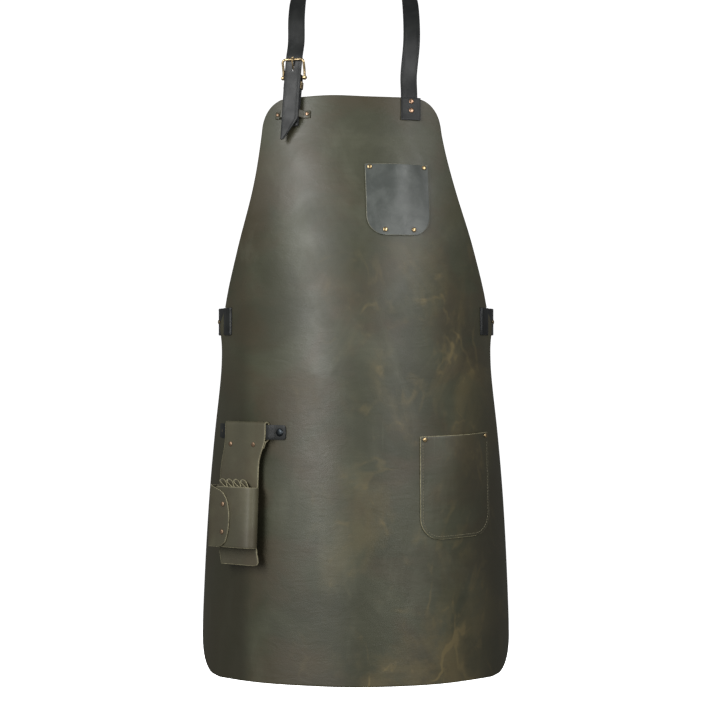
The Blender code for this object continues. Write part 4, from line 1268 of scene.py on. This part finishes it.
def holster_path():
    """The main sheet in side view, as (out, z) points: from its lowest edge, over the strap, to its end."""
    bow = MAIN_OUT - RETURN_OUT
    top = FOLD_TOP - HOLSTER_THICK / 2 - bow / 2
    turns = [math.pi / 2 * k / 10 for k in (0, 4, 5, 6, 7, 8, 9, 10)]
    path = [(MAIN_OUT, BODY_BOTTOM + TAIL_CORNER * (1 - math.cos(turn))) for turn in turns]
    start, steps = BODY_BOTTOM + TAIL_CORNER, 60
    path += [(MAIN_OUT, start - start * k / steps) for k in range(1, steps + 1)]
    path += arc(((MAIN_OUT + RETURN_OUT) / 2, top), bow / 2, 0, 180, 18)
    return path + RETURN_PATH


def make_holster(home):
    """The holster's leather: one sheet folded over the strap, with its front wrap and side flap."""
    hang = home @ Matrix.Rotation(-HOLSTER_LEAN, 4, "X")
    path = holster_path()
    columns, inside_wrap = 17, 0.0012

    def main(i, j):
        out, z = path[j]
        low, high = smooth(LEFT_EDGE, z), smooth(RIGHT_EDGE, z)
        inset = max(0.0, TAIL_CORNER - (z - BODY_BOTTOM))
        high -= TAIL_CORNER - math.sqrt(max(TAIL_CORNER**2 - inset**2, 0.0))
        if POUCH_BOTTOM < z < POUCH_TOP:
            high -= inside_wrap
            low += inside_wrap
        return place(hang, low + (high - low) * i / (columns - 1), out, z)

    mesh = sheet_mesh(columns, len(path), main, HOLSTER_LOOKS, HOLSTER_THICK, 0.0, 0.0007, tight=False)
    body = link("holster_leather", mesh, "holster", ("holster_body",))
    wide, high = 0.074, sheet_size([place(hang, 0, out, z) for out, z in path])
    make_wrap(hang)
    make_flap(hang)

    finish = "holster_brass", "brass", "holster"
    head = 0.0035
    front, back = MAIN_OUT + 0.0011, 0.0085 - 0.0011
    for name, x in (("left", -0.028), ("right", 0.0165)):
        matrix = moved(hang, x, 0.0, HANGER_RIVETS_Z)
        rivet(f"holster_rivet_{name}", matrix, front, back, *finish, head, cap=0.0026)
    front, back = 0.0352, 0.0300
    for name, z in (("upper", -0.1060), ("lower", -0.1460)):
        matrix = moved(hang, -0.0180, 0.0, z)
        rivet(f"flap_rivet_{name}", matrix, front, back, *finish, head, cap=0.0036)
    return hang


def make_wrap(hang):
    """The sheet round the holster's front."""
    line = through([(x, out, 0.0) for x, out in pouch_round()], 6)
    rows, tall = 25, POUCH_TOP - POUCH_BOTTOM

    def where(i, j):
        x, out, _ = line[i]
        return place(hang, x, out, POUCH_BOTTOM + tall * j / (rows - 1))

    mesh = sheet_mesh(len(line), rows, where, HOLSTER_LOOKS, WRAP_THICK, 0.0, tight=False)
    piece = link("holster_wrap_leather", mesh, "holster")
    sheet_size(line)


def make_flap(hang):
    """The flap that comes round the holster's left side, over its front, with a curved edge."""
    line = through([(x, out, 0.0) for x, out in flap_round()], 8)
    columns, rows = 41, 45
    heights = [POUCH_BOTTOM + (FLAP_TOP - POUCH_BOTTOM) * k / (rows - 1) for k in range(rows)]

    def where(i, j):
        k = i / (columns - 1) * passed(line, smooth(FLAP_EDGE, heights[j]))
        point = line[math.floor(k)].lerp(line[math.ceil(k)], k - math.floor(k))
        return place(hang, point.x, point.y, heights[j])

    mesh = sheet_mesh(columns, rows, where, HOLSTER_LOOKS, WRAP_THICK, 0.0)
    piece = link("holster_flap_leather", mesh, "holster")
    covered = 0.8
    flat = sheet_size(line) * covered, FLAP_TOP - POUCH_BOTTOM


def sheet_size(line):
    """A line's length."""
    return sum((Vector(b) - Vector(a)).length for a, b in zip(line, line[1:]))


def pouch_round():
    """The front wrap in plan, as (x, out) points from the main sheet's right edge to the left."""
    return [
        (BODY_RIGHT - 0.0050, MAIN_OUT),
        (BODY_RIGHT - 0.0005, MAIN_OUT + 0.0004),
        (BODY_RIGHT + 0.0030, 0.0140),
        (BODY_RIGHT + 0.0043, 0.0185),
        (BODY_RIGHT + 0.0030, 0.0235),
        (BODY_RIGHT - 0.0020, 0.0282),
        (BODY_RIGHT - 0.0110, 0.0304),
        (0.0, 0.0314),
        (-0.0150, 0.0312),
        (-0.0360, 0.0296),
    ]


def flap_round():
    """The side flap in plan, as (x, out) points from the main sheet's left edge over the front wrap."""
    return [
        (BODY_LEFT + 0.0050, MAIN_OUT),
        (BODY_LEFT + 0.0005, MAIN_OUT + 0.0004),
        (BODY_LEFT - 0.0035, 0.0145),
        (BODY_LEFT - 0.0050, 0.0200),
        (BODY_LEFT - 0.0040, 0.0260),
        (BODY_LEFT + 0.0010, 0.0310),
        (BODY_LEFT + 0.0120, 0.0334),
        (-0.0150, 0.0341),
        (0.0, 0.0342),
    ]


def divider_round(near, far):
    """The tool strip in plan: loops that run along the front, fold back to the left and come forward again.

    A loop's points are (x, forward), where forward is 0 against the main sheet and 1 behind the wrap.
    """
    loop = [
        (0.0158, 1.00),
        (0.0225, 1.00),
        (0.0242, 0.92),
        (0.0217, 0.82),
        (0.0162, 0.65),
        (0.0072, 0.33),
        (0.0047, 0.17),
        (0.0065, 0.04),
        (0.0135, 0.15),
        (0.0211, 0.50),
    ]
    starts = [BODY_LEFT - 0.0017 + LOOP_PITCH * k for k in range(LOOPS)]
    points = [(start + x, forward) for start in starts for x, forward in loop]
    points.append((starts[-1] + 0.0293, 1.0))
    return through([(x, near + (far - near) * forward, 0.0) for x, forward in points], 4)


def make_divider(hang):
    """The wavy strip behind the holster's front wrap: leaning loops, higher at the back than in front."""
    near, far = MAIN_OUT + HOLSTER_THICK / 2 + 0.0011, 0.0245
    low, front_edge, back_edge = POUCH_BOTTOM + 0.014, POUCH_TOP - 0.0015, POUCH_TOP + 0.0115
    line = divider_round(near, far)
    rows = 9

    def where(i, j):
        x, out, _ = line[i]
        high = front_edge + (back_edge - front_edge) * (far - out) / (far - near)
        return place(hang, x, out, low + (high - low) * j / (rows - 1))

    mesh = sheet_mesh(len(line), rows, where, HOLSTER_LOOKS, DIVIDER_THICK, 0.0, 0.0006, tight=False)
    link("holster_divider_leather", mesh, "holster", ("holster_tool_divider",))


# Stage


def make_stage():
    """A pale floor that curves up into a backdrop. It glows evenly, but sends no light to the object."""
    floor, wall, curve, steps = -1.42, 9.0, 3.0, 16
    profile = [(0.0, floor), (3.0, floor), (wall - curve, floor)]
    for k in range(1, steps + 1):
        turn = math.pi / 2 * k / steps
        profile.append((wall - curve + curve * math.sin(turn), floor + curve * (1 - math.cos(turn))))
    profile.append((wall, 6.0))
    mesh = smoothed(turned_mesh(profile, Matrix.Identity(4), 64))
    pale = Finish("pale_sweep", 0.9)
    pale.set("Base Color", (0.88, 0.88, 0.88))
    pale.set("Specular IOR Level", 0.0)
    pale.set("Emission Color", (1.0, 1.0, 1.0))
    pale.set("Emission Strength", 0.92)
    mesh.materials.append(pale.material)
    sweep = added("sweep", mesh)
    sweep.visible_diffuse = sweep.visible_glossy = sweep.visible_shadow = False


def add_light(name, at, target, size, energy, roll=0.0):
    """A soft rectangular light that isn't itself seen. roll turns it round the way that it points."""
    lamp = bpy.data.lights.new(name, "AREA")
    lamp.shape = "RECTANGLE"
    lamp.size, lamp.size_y = size
    lamp.energy = energy
    thing = added(name, lamp)
    thing.location = at
    way = (Vector(target) - Vector(at)).to_track_quat("-Z", "Y")
    thing.rotation_euler = (way.to_matrix() @ Matrix.Rotation(math.radians(roll), 3, "Z")).to_euler()
    thing.visible_camera = False


def make_lights():
    """Two tall soft boxes either side of the camera, leaning apart, and one behind, in a dim even room."""
    middle = (0.0, -0.1, -0.40)
    add_light("strip_left", (-1.46, -2.05, 0.20), middle, (0.8, 2.6), 60.0, roll=25.0)
    add_light("strip_right", (1.55, -1.90, 0.20), middle, (0.8, 2.6), 34.0, roll=-36.0)
    add_light("behind", (0.0, 3.0, 0.5), (0.0, 0.0, -0.45), (1.4, 1.8), 105.0)
    world = bpy.data.worlds.new("studio")
    world.use_nodes = True
    back = world.node_tree.nodes["Background"]
    back.inputs["Color"].default_value = (1.0, 1.0, 1.0, 1.0)
    back.inputs["Strength"].default_value = 0.16
    bpy.context.scene.world = world
    bpy.context.scene.view_settings.view_transform = "Standard"


def make_camera():
    """A level camera in front, at the photograph's viewing angle."""
    camera = bpy.data.cameras.new("camera")
    camera.lens = CAMERA_LENS
    camera.sensor_width = 36.0
    camera.clip_end = 50.0
    thing = added("camera", camera)
    thing.location = CAMERA_AT
    thing.rotation_euler = (math.pi / 2, 0.0, 0.0)
    bpy.context.scene.camera = thing


make_camera()
make_lights()
make_stage()

left_bib = panel_frame(STRAP_ALONG_LEFT, STRAP_HEIGHT) @ Matrix.Rotation(STRAP_TURN_LEFT, 4, "Y")
right_bib = panel_frame(STRAP_ALONG_RIGHT, STRAP_HEIGHT) @ Matrix.Rotation(STRAP_TURN_RIGHT, 4, "Y")
neck_buckle = moved(left_bib, 0.0, BASE_LIFT, PIN_ABOVE)
waist_buckle = Matrix(((0, 0, -1, WAIST_PIN_X), (0, -1, 0, BACK_Y), (-1, 0, 0, WAIST_HEIGHT), (0, 0, 0, 1)))
neck_band = moved(neck_buckle, 0.0, 0.0, -0.0122)
holster_home = panel_frame(HOLSTER_ALONG, HOLSTER_HEIGHT) @ Matrix.Rotation(HOLSTER_TURN, 4, "Z")

make_neck_strap(left_bib, right_bib, neck_buckle)
make_neck_anchor(left_bib, neck_buckle)
make_buckle("neck", neck_buckle, NECK_WIDTH)
make_keeper("neck", "metal", neck_band, 0.0064, NECK_WIDTH, 0.0105, 0.0009, "antique_brass")
make_patch()
make_panel()
lower = LOWER_POCKET, LOWER_TILT, LOWER_BULGE
make_pocket("chest_pocket", CHEST_POCKET, 0.0, CHEST_BULGE, ("teal", "teal_edge"), "black_leather", True)
make_pocket("lower_pocket", *lower, ("olive_pocket", "olive_edge"), "olive_leather", False)
make_stitches("lower_pocket_stitches", *lower)
make_hanger(holster_home)
holster_hang = make_holster(holster_home)
make_divider(holster_hang)
make_waist(waist_buckle)
